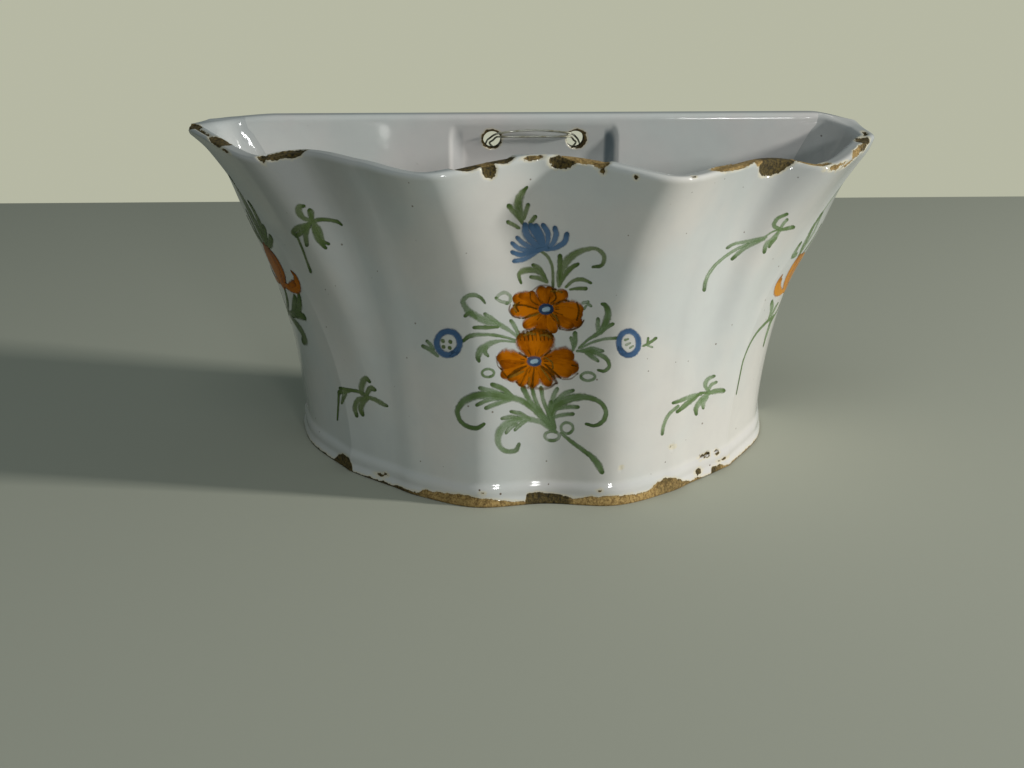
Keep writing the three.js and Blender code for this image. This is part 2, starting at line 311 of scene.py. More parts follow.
# The slab's rings from the edge of the underside up to the top's, with flat fills back to the plate
edge_rows, fill_lanes = 13, 16
wiped, wiped_dirt = 1.5, 0.3
round_inset, round_rise = quarter_round(foot_round, 4)
edge_z = np.concatenate([
    foot_round - round_rise[::-1], np.linspace(foot_round, slab, edge_rows + 1)[1:],
])
edge_inset = np.concatenate([round_inset[::-1], np.zeros(edge_rows)])
edge_height = edge_z[:, None] + 0 * column_share
slab_edge = clay_points(*over_columns(len(edge_z)), edge_height, edge_inset[:, None])


def at_plate(points):
    return points * [1, 0, 1] + [0, plate_face, 0]


def fill_to_back(ring):
    """A flat fill between a ring of points and the plate's face, straight back from each."""
    share = np.linspace(0, 1, fill_lanes)[None, :, None]
    return ring[:, None] * (1 - share) + at_plate(ring)[:, None] * share


under = fill_to_back(slab_edge[0])
top = fill_to_back(slab_edge[-1])
slab_parts = [slab_edge, under, top, at_plate(slab_edge)]
slab_points = np.concatenate([part.reshape(-1, 3) for part in slab_parts])
slab_faces = []
start = 0
for part in slab_parts:
    slab_faces += (np.array(strips(*part.shape[:2])) + start).tolist()
    start += part[..., 0].size
edge_bare, edge_dirt = worn_foot(column_foot_x[None, :], edge_height)
under_bare = np.full(under[..., 0].size, wiped)
rest = len(slab_points) - edge_bare.size - len(under_bare)
bare = np.concatenate([edge_bare.ravel(), under_bare, np.full(rest, unworn)])
dirt = np.concatenate([edge_dirt.ravel(), np.full(len(bare) - edge_dirt.size, wiped_dirt)])
base_slab = clay_piece("foot_slab", slab_points, slab_faces, {"bare": bare, "dirt": dirt})
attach(base_slab, "pot")
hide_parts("base_slab")


def add_node(tree, kind, links=None, **settings):
    """A node with its settings, and each input set to a value or linked to an output."""
    node = tree.nodes.new(kind)
    for key, value in settings.items():
        setattr(node, key, value)
    for socket, value in (links or {}).items():
        if isinstance(value, bpy.types.NodeSocket):
            tree.links.new(value, node.inputs[socket])
        else:
            node.inputs[socket].default_value = value
    return node


def output_of(tree, kind, links=None, output=0, **settings):
    """One output of a new node, by its name or its place."""
    return add_node(tree, kind, links, **settings).outputs[output]


def node_group(name, kind, inputs, outputs):
    """A node group with its named sockets, each given by its kind."""
    tree = bpy.data.node_groups.new(name, kind)
    for side, sockets in (("INPUT", inputs), ("OUTPUT", outputs)):
        for socket, socket_kind in sockets.items():
            tree.interface.new_socket(socket, in_out=side, socket_type="NodeSocket" + socket_kind)
    return tree


def maths(tree, operation, *values):
    return output_of(tree, "ShaderNodeMath", dict(enumerate(values)), operation=operation)


def plus(tree, first, second):
    return maths(tree, "ADD", first, second)


def minus(tree, first, second):
    return maths(tree, "SUBTRACT", first, second)


def times(tree, first, second):
    return maths(tree, "MULTIPLY", first, second)


def noise(tree, place, scale, detail=3.0, roughness=0.55):
    links = {"Vector": place, "Scale": scale, "Detail": detail, "Roughness": roughness}
    return output_of(tree, "ShaderNodeTexNoise", links, "Fac")


def ramp(tree, value, low, high):
    """0 to 1 as a value goes from low to high, slow at both ends."""
    links = {"Value": value, "From Min": low, "From Max": high}
    return output_of(tree, "ShaderNodeMapRange", links, "Result", interpolation_type="SMOOTHSTEP")


def blend_colours(tree, share, first, second):
    """Sockets of a Mix node share their names, so those for colours are found by their places."""
    links = {0: share, 6: first, 7: second}
    return output_of(tree, "ShaderNodeMix", links, 2, data_type="RGBA")


def spots(tree, place, scale, radius, share):
    """Round spots of a radius in cell widths, in a share of the cells."""
    cells = add_node(tree, "ShaderNodeTexVoronoi", {"Vector": place, "Scale": scale})
    chosen = add_node(tree, "ShaderNodeSeparateColor", {"Color": cells.outputs["Color"]})
    small = times(tree, chosen.outputs["Green"], radius)
    spot = maths(tree, "LESS_THAN", cells.outputs["Distance"], small)
    return times(tree, spot, maths(tree, "LESS_THAN", chosen.outputs["Red"], share))


# Tin glaze over buff clay: where the glaze has come away the clay shows, ochre where it broke
# lately and nearly black where dirt has gone in. A bluish grey laid over the glaze is painted
# shade, where a piece asks for it
clouded, specked, painted_shade_blue = (0.42, 0.40, 0.42, 1), (0.12, 0.08, 0.05, 1), (0.13, 0.17, 0.19, 1)
thin_glaze = (0.70, 0.62, 0.42, 1)
ochre_clay = (0.17, 0.10, 0.027, 1), (0.46, 0.31, 0.115, 1)
grimy_clay = (0.012, 0.009, 0.003, 1), (0.115, 0.08, 0.020, 1)
smoothest, glaze_gain, clay_rough = 0.045, 0.06, 0.92
tree = glaze_wear = node_group(
    "worn_tin_glaze", "ShaderNodeTree",
    {"Place": "Vector", "Bare": "Float", "Dirt": "Float", "Painted_shade": "Float", "Glaze": "Color",
     "Glaze tint": "Color", "Specks": "Float", "Ripple": "Float"},
    {"Color": "Color", "Roughness": "Float", "Height": "Float"},
)
given = add_node(tree, "NodeGroupInput").outputs
place = given["Place"]
broad = ramp(tree, noise(tree, place, 22.0), 0.35, 0.65)
fine = noise(tree, place, 420.0, 5.0, 0.7)
coarse = noise(tree, place, 900.0, 3.0, 0.6)
uneven = minus(tree, fine, 0.5)
cloud = times(tree, ramp(tree, noise(tree, place, 150.0, 4.0), 0.3, 0.8), 0.10)
speck = times(tree, spots(tree, place, 260.0, 0.10, 0.6), given["Specks"])
edge = plus(tree, given["Bare"], times(tree, uneven, 2.4))
bare_clay = ramp(tree, edge, -0.03, 0.06)
halo = times(tree, ramp(tree, edge, -0.9, -0.05), 0.6)
glaze_colour = blend_colours(tree, broad, given["Glaze"], given["Glaze tint"])
# Laid over the glaze in turn: clouds, specks, the bluish grey of painted shade, and the thin glaze round
# the chips
for share, laid_over in (
    (cloud, clouded), (speck, specked), (given["Painted_shade"], painted_shade_blue), (halo, thin_glaze),
):
    glaze_colour = blend_colours(tree, share, glaze_colour, laid_over)
clay_grain = ramp(tree, noise(tree, place, 1100.0, 6.0, 0.75), 0.36, 0.62)
soot = ramp(tree, plus(tree, given["Dirt"], uneven), 0.2, 0.8)
ochre, grime = (blend_colours(tree, clay_grain, *pair) for pair in (ochre_clay, grimy_clay))
clay_colour = blend_colours(tree, soot, ochre, grime)
colour = blend_colours(tree, bare_clay, glaze_colour, clay_colour)
gloss = ramp(tree, noise(tree, place, 60.0, 2.0), 0.2, 0.8)
glaze_rough = plus(tree, smoothest, times(tree, gloss, glaze_gain))
roughness = plus(tree, glaze_rough, times(tree, bare_clay, minus(tree, clay_rough, glaze_rough)))
ripples = times(tree, noise(tree, place, 70.0, 2.0), given["Ripple"])
pinholes = times(tree, spots(tree, place, 330.0, 0.10, 0.12), -0.05)
grain_height = minus(tree, times(tree, plus(tree, fine, coarse), 0.35), 0.6)
height = plus(tree, plus(tree, ripples, pinholes), times(tree, bare_clay, grain_height))
add_node(tree, "NodeGroupOutput", {"Color": colour, "Roughness": roughness, "Height": height})


def plain_material(name):
    """A new material, its tree and its shader."""
    material = bpy.data.materials.new(name)
    material.use_nodes = True
    return material, material.node_tree, material.node_tree.nodes["Principled BSDF"]


def read_points(tree, fields):
    """A piece's point fields, by a node group's names for them."""
    return {
        field.capitalize(): output_of(tree, "ShaderNodeAttribute", None, "Fac", attribute_name=field)
        for field in fields
    }


def glazed(name, glaze, tint, specks, ripple):
    """Material of a clay piece, worn where its points' bare field is above nought."""
    material, tree, shader = plain_material(name)
    # A piece's fields: its bare clay, its dirt and its painted shade
    links = {
        **read_points(tree, ("bare", "dirt", "painted_shade")),
        "Place": output_of(tree, "ShaderNodeTexCoord", None, "Object"),
        "Glaze": (*glaze, 1), "Glaze tint": (*tint, 1), "Specks": specks, "Ripple": ripple,
    }
    worn = add_node(tree, "ShaderNodeGroup", links, node_tree=glaze_wear).outputs
    relief = output_of(tree, "ShaderNodeBump", {"Height": worn["Height"], "Distance": MM})
    tree.links.new(worn["Color"], shader.inputs["Base Color"])
    tree.links.new(worn["Roughness"], shader.inputs["Roughness"])
    tree.links.new(relief, shader.inputs["Normal"])
    return material


foot_glaze = glazed("dipped_foot", (0.60, 0.615, 0.60), (0.64, 0.62, 0.60), 1.0, 0.12)
base_slab.data.materials.append(foot_glaze)


# Back plate: a flat slab that carries the outline's back corners. A hollow was pressed into its
# inner face while soft, and two holes were pierced in it for the wire.
hollow_width, hollow_slope, hollow_start, hollow_run, hollow_depth = 61, 5, 3.5, 12.5, 3.5
# Painted shade on the hollow's side slopes rises from nothing to full between these places across
shade_start, shade_end = 25.2, 26.4  # where the hollow's side slopes darken
slope_softness, floor_softness, edge_softness = 0.45, 0.15, 0.04
hole_radius, hole_spacing, hole_below = 3.2, 30.3, 9.3
hole_height = back_rim_height - hole_below
lip_round = 2.0
mouth_round = 0.5  # of a hole's edge
cell, first_cell = 0.6, 0.15
hole_block, hole_fade, fade_step = 4, 12, 0.35
side_lanes, side_steps, clay_lanes = 44, 8, 3
fine_reach = 37.95
hair = 0.01
seam_round = 7  # of the clay smoothed into the corner between the plate and an end panel
# The rim's sunk back corners: from and to across and how deep, and from and to up and back
right_sag, left_sag = (101, 120, 2.8), (92, 114, 1.2)
sag_heights, sag_back = (96, 113), (22, 42)


def soft_least(a, b, width):
    """The lesser of two values, rounded over where they cross."""
    near = np.clip(0.5 + (b - a) / (2 * width), 0, 1)
    return b + (a - b) * near - width * near * (1 - near)


def hollow_at(x, z):
    """Depth of the hollow, with the soft edges that glaze gives."""
    from_side = (hollow_width / 2 - np.abs(x)) / hollow_slope
    from_top = (back_rim_height - hollow_start - z) / hollow_run
    slope = soft_least(from_side, from_top, slope_softness)
    share = soft_least(slope, 1.0, floor_softness)
    return -hollow_depth * soft_least(-share, 0.0, edge_softness)


def soft_step(value, low, high):
    share = np.clip((value - low) / (high - low), 0, 1)
    return share * share * (3 - 2 * share)


def settled(points):
    """Points near the rim sunk where its back corners were rounded off, most on the right."""
    x, y, z = np.moveaxis(points, -1, 0)
    near, far, deep = (np.where(x > 0, *pair) for pair in zip(right_sag, left_sag))
    reach = soft_step(np.abs(x), near, far) * soft_step(y, *sag_back) * soft_step(z, *sag_heights)
    return np.stack([x, y, z - reach * deep], axis=-1)


def plate_ring(z, inset, drop):
    """One ring of the plate, from the left over the inner face to the right and back again."""
    shares = np.linspace(np.interp(z, joint_heights, joint_shares), 1, side_steps + 1)
    edge = panel_place(end_rows, shares, np.full(side_steps + 1, z))
    edge[:, 0] -= inset + drawn_in(z)
    edge[:, 1] = np.clip(edge[:, 1], plate_face + inset, back_face - inset)
    edge[0, 1] = plate_face + inset
    inner_corner = edge[0, 0] + inset - wall - seam_round
    lanes = np.linspace(fine_reach, inner_corner, side_lanes)[1:]
    clay = np.linspace(inner_corner, edge[0, 0], clay_lanes + 1)[:-1]
    middle = np.concatenate([right_fine, lanes])
    face_y = plate_face + inset + hollow_at(middle, z)
    right = np.concatenate([
        np.stack([middle, face_y], axis=1),
        np.stack([clay, np.full(clay_lanes, plate_face + inset)], axis=1),
    ])
    left = right[::-1] * [-1, 1]
    rear_x = np.concatenate([middle, clay, edge[:1, 0]])
    rear_x = np.minimum(rear_x, edge[-1, 0] - hair * np.arange(len(rear_x), 0, -1))
    rear_right = np.stack([rear_x, np.full(len(rear_x), back_face - inset)], axis=1)[::-1]
    rear_left = rear_right[::-1] * [-1, 1]
    plan = np.concatenate([left, right, edge, rear_right, rear_left, edge[::-1] * [-1, 1]])
    under_wall = np.abs(plan[:, 0]) > inner_corner + hair
    return settled(np.column_stack([plan, z - drop * under_wall]))


fine_steps = round((fine_reach - first_cell) / cell)
right_fine = first_cell + cell * np.arange(fine_steps + 1)
hole_column = round((hole_spacing / 2 - first_cell) / cell)
rows_below, rows_above, lower_rows = 37, 12, 34
upper = hole_height + cell * np.arange(-rows_below, rows_above)
lower = np.linspace(foot_round, upper[0], lower_rows)[:-1]
inset_low, rise_low = quarter_round(foot_round, 3)
inset_top, rise_top = quarter_round(lip_round, 6)
plate_z = np.concatenate([
    foot_round - rise_low[:0:-1], lower, upper, back_rim_height - lip_round + rise_top,
])
plate_inset = np.concatenate([inset_low[:0:-1], np.zeros(len(lower) + len(upper)), inset_top])
plate_drop = 0.04 * soft_step(plate_z, *sag_heights)  # leaves the rim there to the wall
plate_points = np.array([plate_ring(*level) for level in zip(plate_z, plate_inset, plate_drop)])
level_count, ring_count = plate_points.shape[:2]
half_face = len(right_fine) + side_lanes - 1 + clay_lanes
hole_level = int(np.argmin(np.abs(plate_z - hole_height)))
rear_start = 2 * half_face + side_steps + 1
rear_half = half_face + 1
plate_faces = []
skipped = set()
mouths = []
fade_run = range(-hole_fade, hole_fade + 1)
block_run = range(-hole_block, hole_block)
around = [(k, -hole_block) for k in block_run] + [(hole_block, k) for k in block_run]
around += [(-up, -over) for up, over in around]
for hand in (-1, 1):
    face_column = half_face + hole_column if hand > 0 else half_face - 1 - hole_column
    rear_column = rear_start + rear_half + (-1 - hole_column if hand > 0 else hole_column)
    for column in (face_column, rear_column):
        middle = plate_points[hole_level, column, [0, 2]].copy()
        for up, over in itertools.product(fade_run, fade_run):
            rank = max(abs(up), abs(over)) - hole_block
            if rank < 0:
                continue
            point = plate_points[hole_level + up, column + over]
            way = point[[0, 2]] - middle
            fade = rank / (hole_fade - hole_block)
            circle = hole_radius + mouth_round + fade_step * rank
            point[[0, 2]] = middle + unit(way) * circle * (1 - fade) + way * fade
            if column == face_column:
                point[1] = plate_face + hollow_at(point[0], point[2])
        skipped |= {(hole_level + up, column + over) for up in block_run for over in block_run}
        mouths.append([(hole_level + up) * ring_count + column + over for up, over in around])
for k, c in itertools.product(range(level_count - 1), range(ring_count)):
    if (k, c) not in skipped:
        after = (c + 1) % ring_count
        low, high = k * ring_count, (k + 1) * ring_count
        plate_faces.append([low + c, low + after, high + after, high + c])
plate_list = plate_points.reshape(-1, 3)


def bore(front_mouth, rear_mouth, points):
    """The bore between two mouths in opposite faces, with rounded edges."""
    rear_mouth = rear_mouth[:1] + rear_mouth[:0:-1]
    start = points[front_mouth]
    flip = np.argmin([
        np.abs(np.roll(points[rear_mouth], -turn, axis=0)[:, [0, 2]] - start[:, [0, 2]]).sum()
        for turn in range(len(rear_mouth))
    ])
    rear_mouth = rear_mouth[flip:] + rear_mouth[:flip]
    end = points[rear_mouth]
    centre = end.mean(axis=0)
    way = unit(end[:, [0, 2]] - centre[[0, 2]])
    angle = np.array([0.35, 0.7, 1.0]) * math.pi / 2
    bend = list(zip(hole_radius + mouth_round * (1 - np.sin(angle)), mouth_round * (1 - np.cos(angle))))
    layers = [(radius, start[:, 1] + deep) for radius, deep in bend]
    span = end[:, 1] - start[:, 1] - 2 * mouth_round
    layers += [(hole_radius, start[:, 1] + mouth_round + share * span) for share in (0.25, 0.5, 0.75)]
    layers += [(radius, end[:, 1] - deep) for radius, deep in bend[::-1]]
    new = [
        np.column_stack([centre[0] + way[:, 0] * radius, y, centre[2] + way[:, 1] * radius])
        for radius, y in layers
    ]
    first = len(points)
    size = len(front_mouth)
    loops = [front_mouth]
    loops += [list(range(first + i * size, first + (i + 1) * size)) for i in range(len(new))]
    loops.append(rear_mouth)
    faces = []
    for a, b in zip(loops[:-1], loops[1:]):
        faces += [[a[i], a[(i + 1) % size], b[(i + 1) % size], b[i]] for i in range(size)]
    return np.concatenate([points, *new]), faces


for pair in (mouths[:2], mouths[2:]):
    plate_list, bore_faces = bore(*pair, plate_list)
    plate_faces += bore_faces
plate_faces.append(list(range(ring_count)))
plate_faces.append([(level_count - 1) * ring_count + c for c in range(ring_count)])
bare_rim = 0.55  # of clay round a hole, and how much wider it is above and to a side
wider_above, wider_beside = 0.3, 0.3
hole_dirt = 0.65


def hole_wear(points):
    """Bare clay round the two holes, thickest above and to the right of them."""
    bare = np.full(len(points), unworn)
    for hand in (-1, 1):
        over = points[:, 0] - hand * hole_spacing / 2
        up = points[:, 2] - hole_height
        away = np.hypot(over, up)
        beside = wider_beside * (0.5 + hand)
        lean = (wider_above * up + beside * over) / np.maximum(away, 1)
        reach = hole_radius + bare_rim + lean
        bare = np.maximum(bare, reach - away)
    return bare


bare = hole_wear(plate_list)
dirt = np.full(len(plate_list), hole_dirt)
over, deep, up = plate_list.T
# Painted shade on the hollow's side slopes: nearly full on the right slope, which faces away from the
# window, and light on the left one
in_hollow = hollow_at(over, up) * (deep < plate_face + plate / 2)
slope_shade = soft_step(np.abs(over), shade_start, shade_end) * np.where(over > 0, 0.95, 0.3)
painted_shade = soft_step(in_hollow, 0.2, 1.2) * slope_shade
fields = {"bare": bare, "dirt": dirt, "painted_shade": painted_shade}
back_plate = clay_piece("flat_back_plate", plate_list, plate_faces, fields)
# The plate's glaze is a little paler and bluer than the wall's: partly the plate's own bluer white,
# partly painted light for the plate, which the window reaches only at a slant
back_plate.data.materials.append(
    glazed("back_plate_glaze", (0.61, 0.635, 0.615), (0.66, 0.63, 0.61), 0.75, 0.10)
)
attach(back_plate, "pot")
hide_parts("back_plate")


# Front wall: pressed in one piece over a mould, with lobes, valleys and two canted ends. Its
# rim was trimmed by hand and rounded, and has lost glaze where it was knocked.
near_rim = 11
lip_steps = 5
low_count, high_count, inner_count = 72, 24, 44


def rim_heights():
    """Rim height at each column: cut a little higher on the left, level at the back."""
    front = along_stations(front_rows, column_share)
    ends = along_stations(end_rows, column_share * joint_shares[-1])
    tilt = column_side * rim_tilt * ends[:, 2] * (1 - column_share)
    short = back_rim_height - along_stations(end_rows, joint_shares[-1:])[0, 4]
    end_rim = ends[:, 4] - tilt + short * column_share**1.5
    return np.where(column_side == 0, front[:, 4] - rim_tilt * front[:, 2], end_rim)


rim_z = rim_heights()
lip_start = rim_z - lip_round
lip_inset, lip_rise = quarter_round(lip_round, lip_steps)
lip_turn = np.linspace(0, math.pi / 2, lip_steps + 1)
outer_crowding, inner_crowding = 1.3, 0.8
low_rows = np.linspace(0, 1, low_count)[:-1, None] ** outer_crowding
high_rows = np.linspace(0, 1, high_count)[:, None]
outer_rows = np.concatenate([
    slab + (lip_start - near_rim - slab) * low_rows, lip_start - near_rim * (1 - high_rows),
])
inner_rows = slab + (lip_start - slab) * np.linspace(0, 1, inner_count)[:, None] ** inner_crowding


def over_lip(rows):
    """Heights, insets and turns of a face's rows and of those that go on over its lip."""
    level = np.zeros(len(rows))
    inset, turn = (np.concatenate([level, part[1:]])[:, None] for part in (lip_inset, lip_turn))
    return np.concatenate([rows, lip_start + lip_rise[1:, None]]), inset, turn


outer_z, outer_inset, outer_turn = over_lip(outer_rows)
inner_z, inner_inset, inner_turn = over_lip(inner_rows)

# Run over the section from where the outer lip begins: above nought down the outer face, below
# nought over the top and down the inner face
lip_arc = lip_round * math.pi / 2
lip_flat = wall - 2 * lip_round
flat_shares = np.array([0.25, 0.5, 0.75])
outer_run = np.where(outer_turn == 0, lip_start - outer_z, -lip_round * outer_turn)
flat_run = -lip_arc - lip_flat * flat_shares[:, None] + 0 * rim_z
inner_run = -2 * lip_arc - lip_flat + np.where(
    inner_turn == 0, inner_z - lip_start, lip_round * inner_turn
)


def inner_face(side, share, z, inset):
    """Points of the wall's inner face, with clay smoothed into the corner at the plate, moved
    into the clay by inset."""
    points = clay_points(side, share, z, np.full(z.shape, float(wall)))
    short = np.clip(seam_round - (plate_face - points[..., 1]), 0, seam_round)
    fill = seam_round - np.sqrt(seam_round**2 - short**2)
    points[..., 0] -= np.where(side == 0, 0, side) * fill
    along = unit(np.gradient(points[..., :2], axis=1))
    into = np.stack([along[..., 1], -along[..., 0]], axis=-1)
    points[..., :2] += into * inset[..., None]
    return points


# A chip starts chip_edge outside its outline and is chip_depth deep after chip_run
chip_depth, chip_edge, chip_run = 0.75, 0.24, 0.8
end_rim_run = 16  # along an end panel's rim
# Chips along the rim: middle across and over the section, half length, half height, dirt
rim_chips = [
    (-121.5, -3.8, 3.4, 3.0, 0.8), (-115.5, -4.1, 4.2, 0.7, 0.7), (-108.5, -4.2, 3.2, 3.7, 0.85),
    (-104, -1, 1.6, 0.6, 0.6), (-90, -3.6, 1.7, 3.4, 0.9), (-85.5, -2.8, 4.4, 2.4, 0.65),
    (-80.5, -3, 4, 3.1, 0.85),
    (-23.5, -5, 4.8, 4.0, 0.75), (-18.5, -4.5, 2.4, 5, 0.45), (-18.6, 0, 2.1, 2.8, 0.9),
    (-13.5, -5, 3.9, 4.2, 0.75), (-4.5, -1.6, 3.2, 0.9, 0.5), (0, -6.2, 6.5, 2.6, 0.1),
    (3.6, -0.2, 3.9, 2.3, 0.85), (9.5, -4.8, 7, 4.6, 0.25), (14.5, -2.5, 2.4, 2.6, 0.4),
    (16, 0.8, 0.8, 0.8, 0.6), (60.5, -3.8, 8, 3.2, 0.3), (68, -6, 5, 3.8, 0.3),
    (76.3, -4, 6.8, 8.2, 0.85), (72, -3.8, 4.5, 4.6, 0.4), (88, -4.6, 7.5, 3.2, 0.15),
    (25.8, 0, 0.7, 0.6, 0.8), (44, -2.6, 0.6, 0.7, 0.8), (97.5, -0.6, 4, 0.9, 0.35),
    (105, 0.9, 4, 0.6, 0.3), (110.5, -1, 4.2, 1.9, 0.35), (114, -0.8, 2.5, 1.5, 0.6),
    (116.8, -2.2, 1.9, 3.6, 0.8), (118.2, -3.4, 1.5, 3, 0.85), (123, -4.6, 2.2, 0.6, 0.9),
]


def sunk_by(bare):
    """How deep a chip has gone at a place that lies so far inside it."""
    return chip_depth * np.clip((bare + chip_edge) / chip_run, 0, 1)


rim_x = np.where(
    column_side == 0, along_stations(front_rows, column_share)[:, 2],
    column_side * (rim_width / 2 + end_rim_run * column_share),
)
(outer_bare, outer_dirt), (flat_bare, flat_dirt), (inner_bare, inner_dirt) = (
    oval_wear(rim_x + 0 * run, run, rim_chips) for run in (outer_run, flat_run, inner_run)
)
foot_bare, foot_dirt = worn_foot(column_foot_x[None, :], outer_z)
outer_dirt = np.where(outer_bare > foot_bare, outer_dirt, foot_dirt)
outer_bare = np.maximum(outer_bare, foot_bare)
outer_sunk, flat_sunk, inner_sunk = (sunk_by(b) for b in (outer_bare, flat_bare, inner_bare))
outer_points = clay_points(
    *over_columns(len(outer_z)), outer_z - outer_sunk * np.sin(outer_turn),
    outer_inset + outer_sunk * np.cos(outer_turn),
)
inner_points = inner_face(
    *over_columns(len(inner_z)), inner_z - inner_sunk * np.sin(inner_turn),
    inner_inset + inner_sunk * np.cos(inner_turn),
)
# The outer face's last column runs on over the plate's rounded lip, flush with the plate's edge
past_round, over_edge = 0.3, 0.02
past_lip = plate_face + lip_round + past_round
for column in (0, -1):
    heights = outer_z[:, column]
    last = panel_place(end_rows, end_share_at(past_lip, heights), heights)
    flush = last[:, 0] - drawn_in(heights) - outer_inset[:, 0] + over_edge
    outer_points[:, column, 0] = column_side[column] * flush
    outer_points[:, column, 1] = past_lip
flat_share = flat_shares[:, None, None]
flat_points = outer_points[-1] * (1 - flat_share) + inner_points[-1] * flat_share
flat_points[..., 2] = rim_z - flat_sunk
wall_points = np.concatenate([outer_points, flat_points, inner_points[::-1]])
bare = np.concatenate([outer_bare, flat_bare, inner_bare[::-1]])
dirt = np.concatenate([outer_dirt, flat_dirt, inner_dirt[::-1]])


def between(value, rise, fall):
    """1 from the end of a soft rise to the start of a soft fall, and 0 beyond them."""
    return soft_step(value, *rise) * (1 - soft_step(value, *fall))


# Under their lips the left ear was drawn in a little and the right one pushed out while the
# clay was soft, and the left one's tip has broken off
left_drawn, right_bulge = 1.5, 3.0
broken_tip = -120.9
x, y, z = np.moveaxis(wall_points, -1, 0)
drawn = soft_step(-x, 98, 119) * between(z, (76, 102), (107, 115))
bulge = soft_step(x, 76, 92) * between(z, (56, 80), (104, 115)) * (1 - soft_step(y, 26, 39))
moved = left_drawn * drawn + right_bulge * bulge
wall_points = settled(np.stack([np.maximum(x + moved, broken_tip), y, z], axis=-1))
shape = wall_points.shape[:2]
wall_faces = strips(*shape, wrap=True)
wall_faces.append([k * column_count for k in range(shape[0])])
wall_faces.append([(k + 1) * column_count - 1 for k in range(shape[0])])
# Painted shade: the glaze is greyed high on the wall under the rim, from 40 mm out from the middle to
# the ends
painted_shade = 0.3 * soft_step(z, 72, 104) * soft_step(np.abs(x), 40, 75)
front_wall = clay_piece(
    "pressed_wall", wall_points, wall_faces, {"bare": bare, "dirt": dirt, "painted_shade": painted_shade}
)
front_wall.data.materials.append(
    glazed("front_wall_glaze", (0.59, 0.61, 0.595), (0.65, 0.63, 0.595), 0.75, 0.12)
)
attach(front_wall, "pot")
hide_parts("front_wall")


# Painting: a bouquet on the front, four small sprigs round it and a tulip sprig on each end, laid
# on the raw glaze with a loaded brush in green, blue and orange and fired with it.

# A stroke on the front runs from where the brush was set down, through points given as across,
# down and half width in the photograph's pixels, and lies where the camera sees it on the wall
olive_strokes = [
    ((522, 223, 2), (520, 213, 4), (518, 204, 5), (521, 195, 4.2), (527, 187, 1.5)),
    ((521, 221, 1.8), (515, 213, 3.2), (509, 206, 3)),
    ((524, 219, 1.6), (526, 211, 2.6), (528, 205, 2.6)),
    ((519, 228, 1.8), (514, 225, 2.4), (508, 222, 2.4)),
    ((530, 223, 2.2), (535, 217, 2.8)),
    ((541, 251, 1.6), (548, 257, 1.8), (552, 266, 1.8), (553, 275, 1.7), (553, 286, 1.8)),
    ((559, 286, 2.2), (560, 274, 4.2), (566, 262, 4.6), (575, 254, 4.2), (586, 249.5, 2.8),
     (597, 249, 2.2), (604, 256, 2.6), (602, 265, 2.2), (593, 267, 1.8)),
    ((560, 280, 2), (560, 266, 3), (560, 256, 2.8)),
    ((560, 284, 2), (565, 275, 2.8), (571, 268, 2.8), (578, 264, 2)),
    ((566, 287, 1.6), (574, 280.5, 2.2), (583, 279.5, 2.4), (591, 283, 1.6)),
    ((570, 289.5, 1.2), (577, 288.5, 2), (586, 288.5, 2.2)),
    ((547, 282, 2), (541, 273, 3), (532, 270, 3.4), (523, 271, 3.6), (519, 275, 2.4), (521, 283, 1.5)),
    ((545, 277, 1.8), (539, 268, 2.6), (533, 265, 2.2)),
    ((546, 282, 1.6), (538, 278, 2.6), (531, 277, 2.2)),
    ((312, 221, 2.4), (304, 218, 2.8), (299, 212, 3.8), (299, 207, 3.4), (304, 206, 2)),
    ((312, 220, 2.5), (311, 213, 3.8), (310, 211, 3.4)),
    ((314, 221, 2.6), (320, 219.5, 2.4), (330, 220, 2.1), (338, 222, 2), (342, 225, 1.2)),
    ((311, 223, 2), (303, 226, 3), (296, 229, 3.4), (293, 232, 2.4), (297, 236, 2)),
    ((309, 225, 3), (303, 231, 3.6), (297, 236, 2.4)),
    ((309, 225, 2.5), (306, 235, 3), (307, 245, 2.2)),
    ((313, 223, 3), (319, 231, 4), (323, 241, 2.4), (329, 244, 1.6)),
    ((314, 228, 3.4), (318, 238, 3.4), (323, 245, 2.4), (326, 248, 1.8)),
    ((298, 238, 1.2), (303, 250, 1.2), (307, 261, 1.2), (311, 272, 1.5)),
    ((362, 394, 2.2), (362, 386, 3.6), (364, 380, 3.6), (366, 378, 2.6), (370, 382, 1.6)),
    ((366, 396, 2.2), (369, 390, 3), (371, 388, 3.2), (375, 390, 2)),
    ((367, 396, 2), (360, 392, 2), (350, 390, 2), (340, 388, 1.6)),
    ((350, 391, 2), (344, 391, 3.6), (340, 392, 3)),
    ((345, 394, 2.8), (342, 403, 1.6)),
    ((339, 392, 1.4), (338.5, 404, 1.2), (337.5, 420, 0.9)),
    ((367, 397, 2), (376, 400, 2.6), (383, 404, 2.4), (387, 406, 1.8)),
    ((366, 398, 2.5), (358, 400, 3), (355, 408, 2.8), (357, 416, 2)),
    ((368, 398, 3), (363, 402, 3.8), (361, 409, 3.2), (363, 415, 2)),
    ((442.8, 340.6, 2.3), (443.2, 341.2, 2.3)), ((450.2, 341.4, 2.3), (450.6, 342, 2.3)),
    ((443.4, 346.6, 2.2), (443.8, 347, 2.2)), ((449.6, 347.6, 2.2), (450, 348, 2.2)),
]
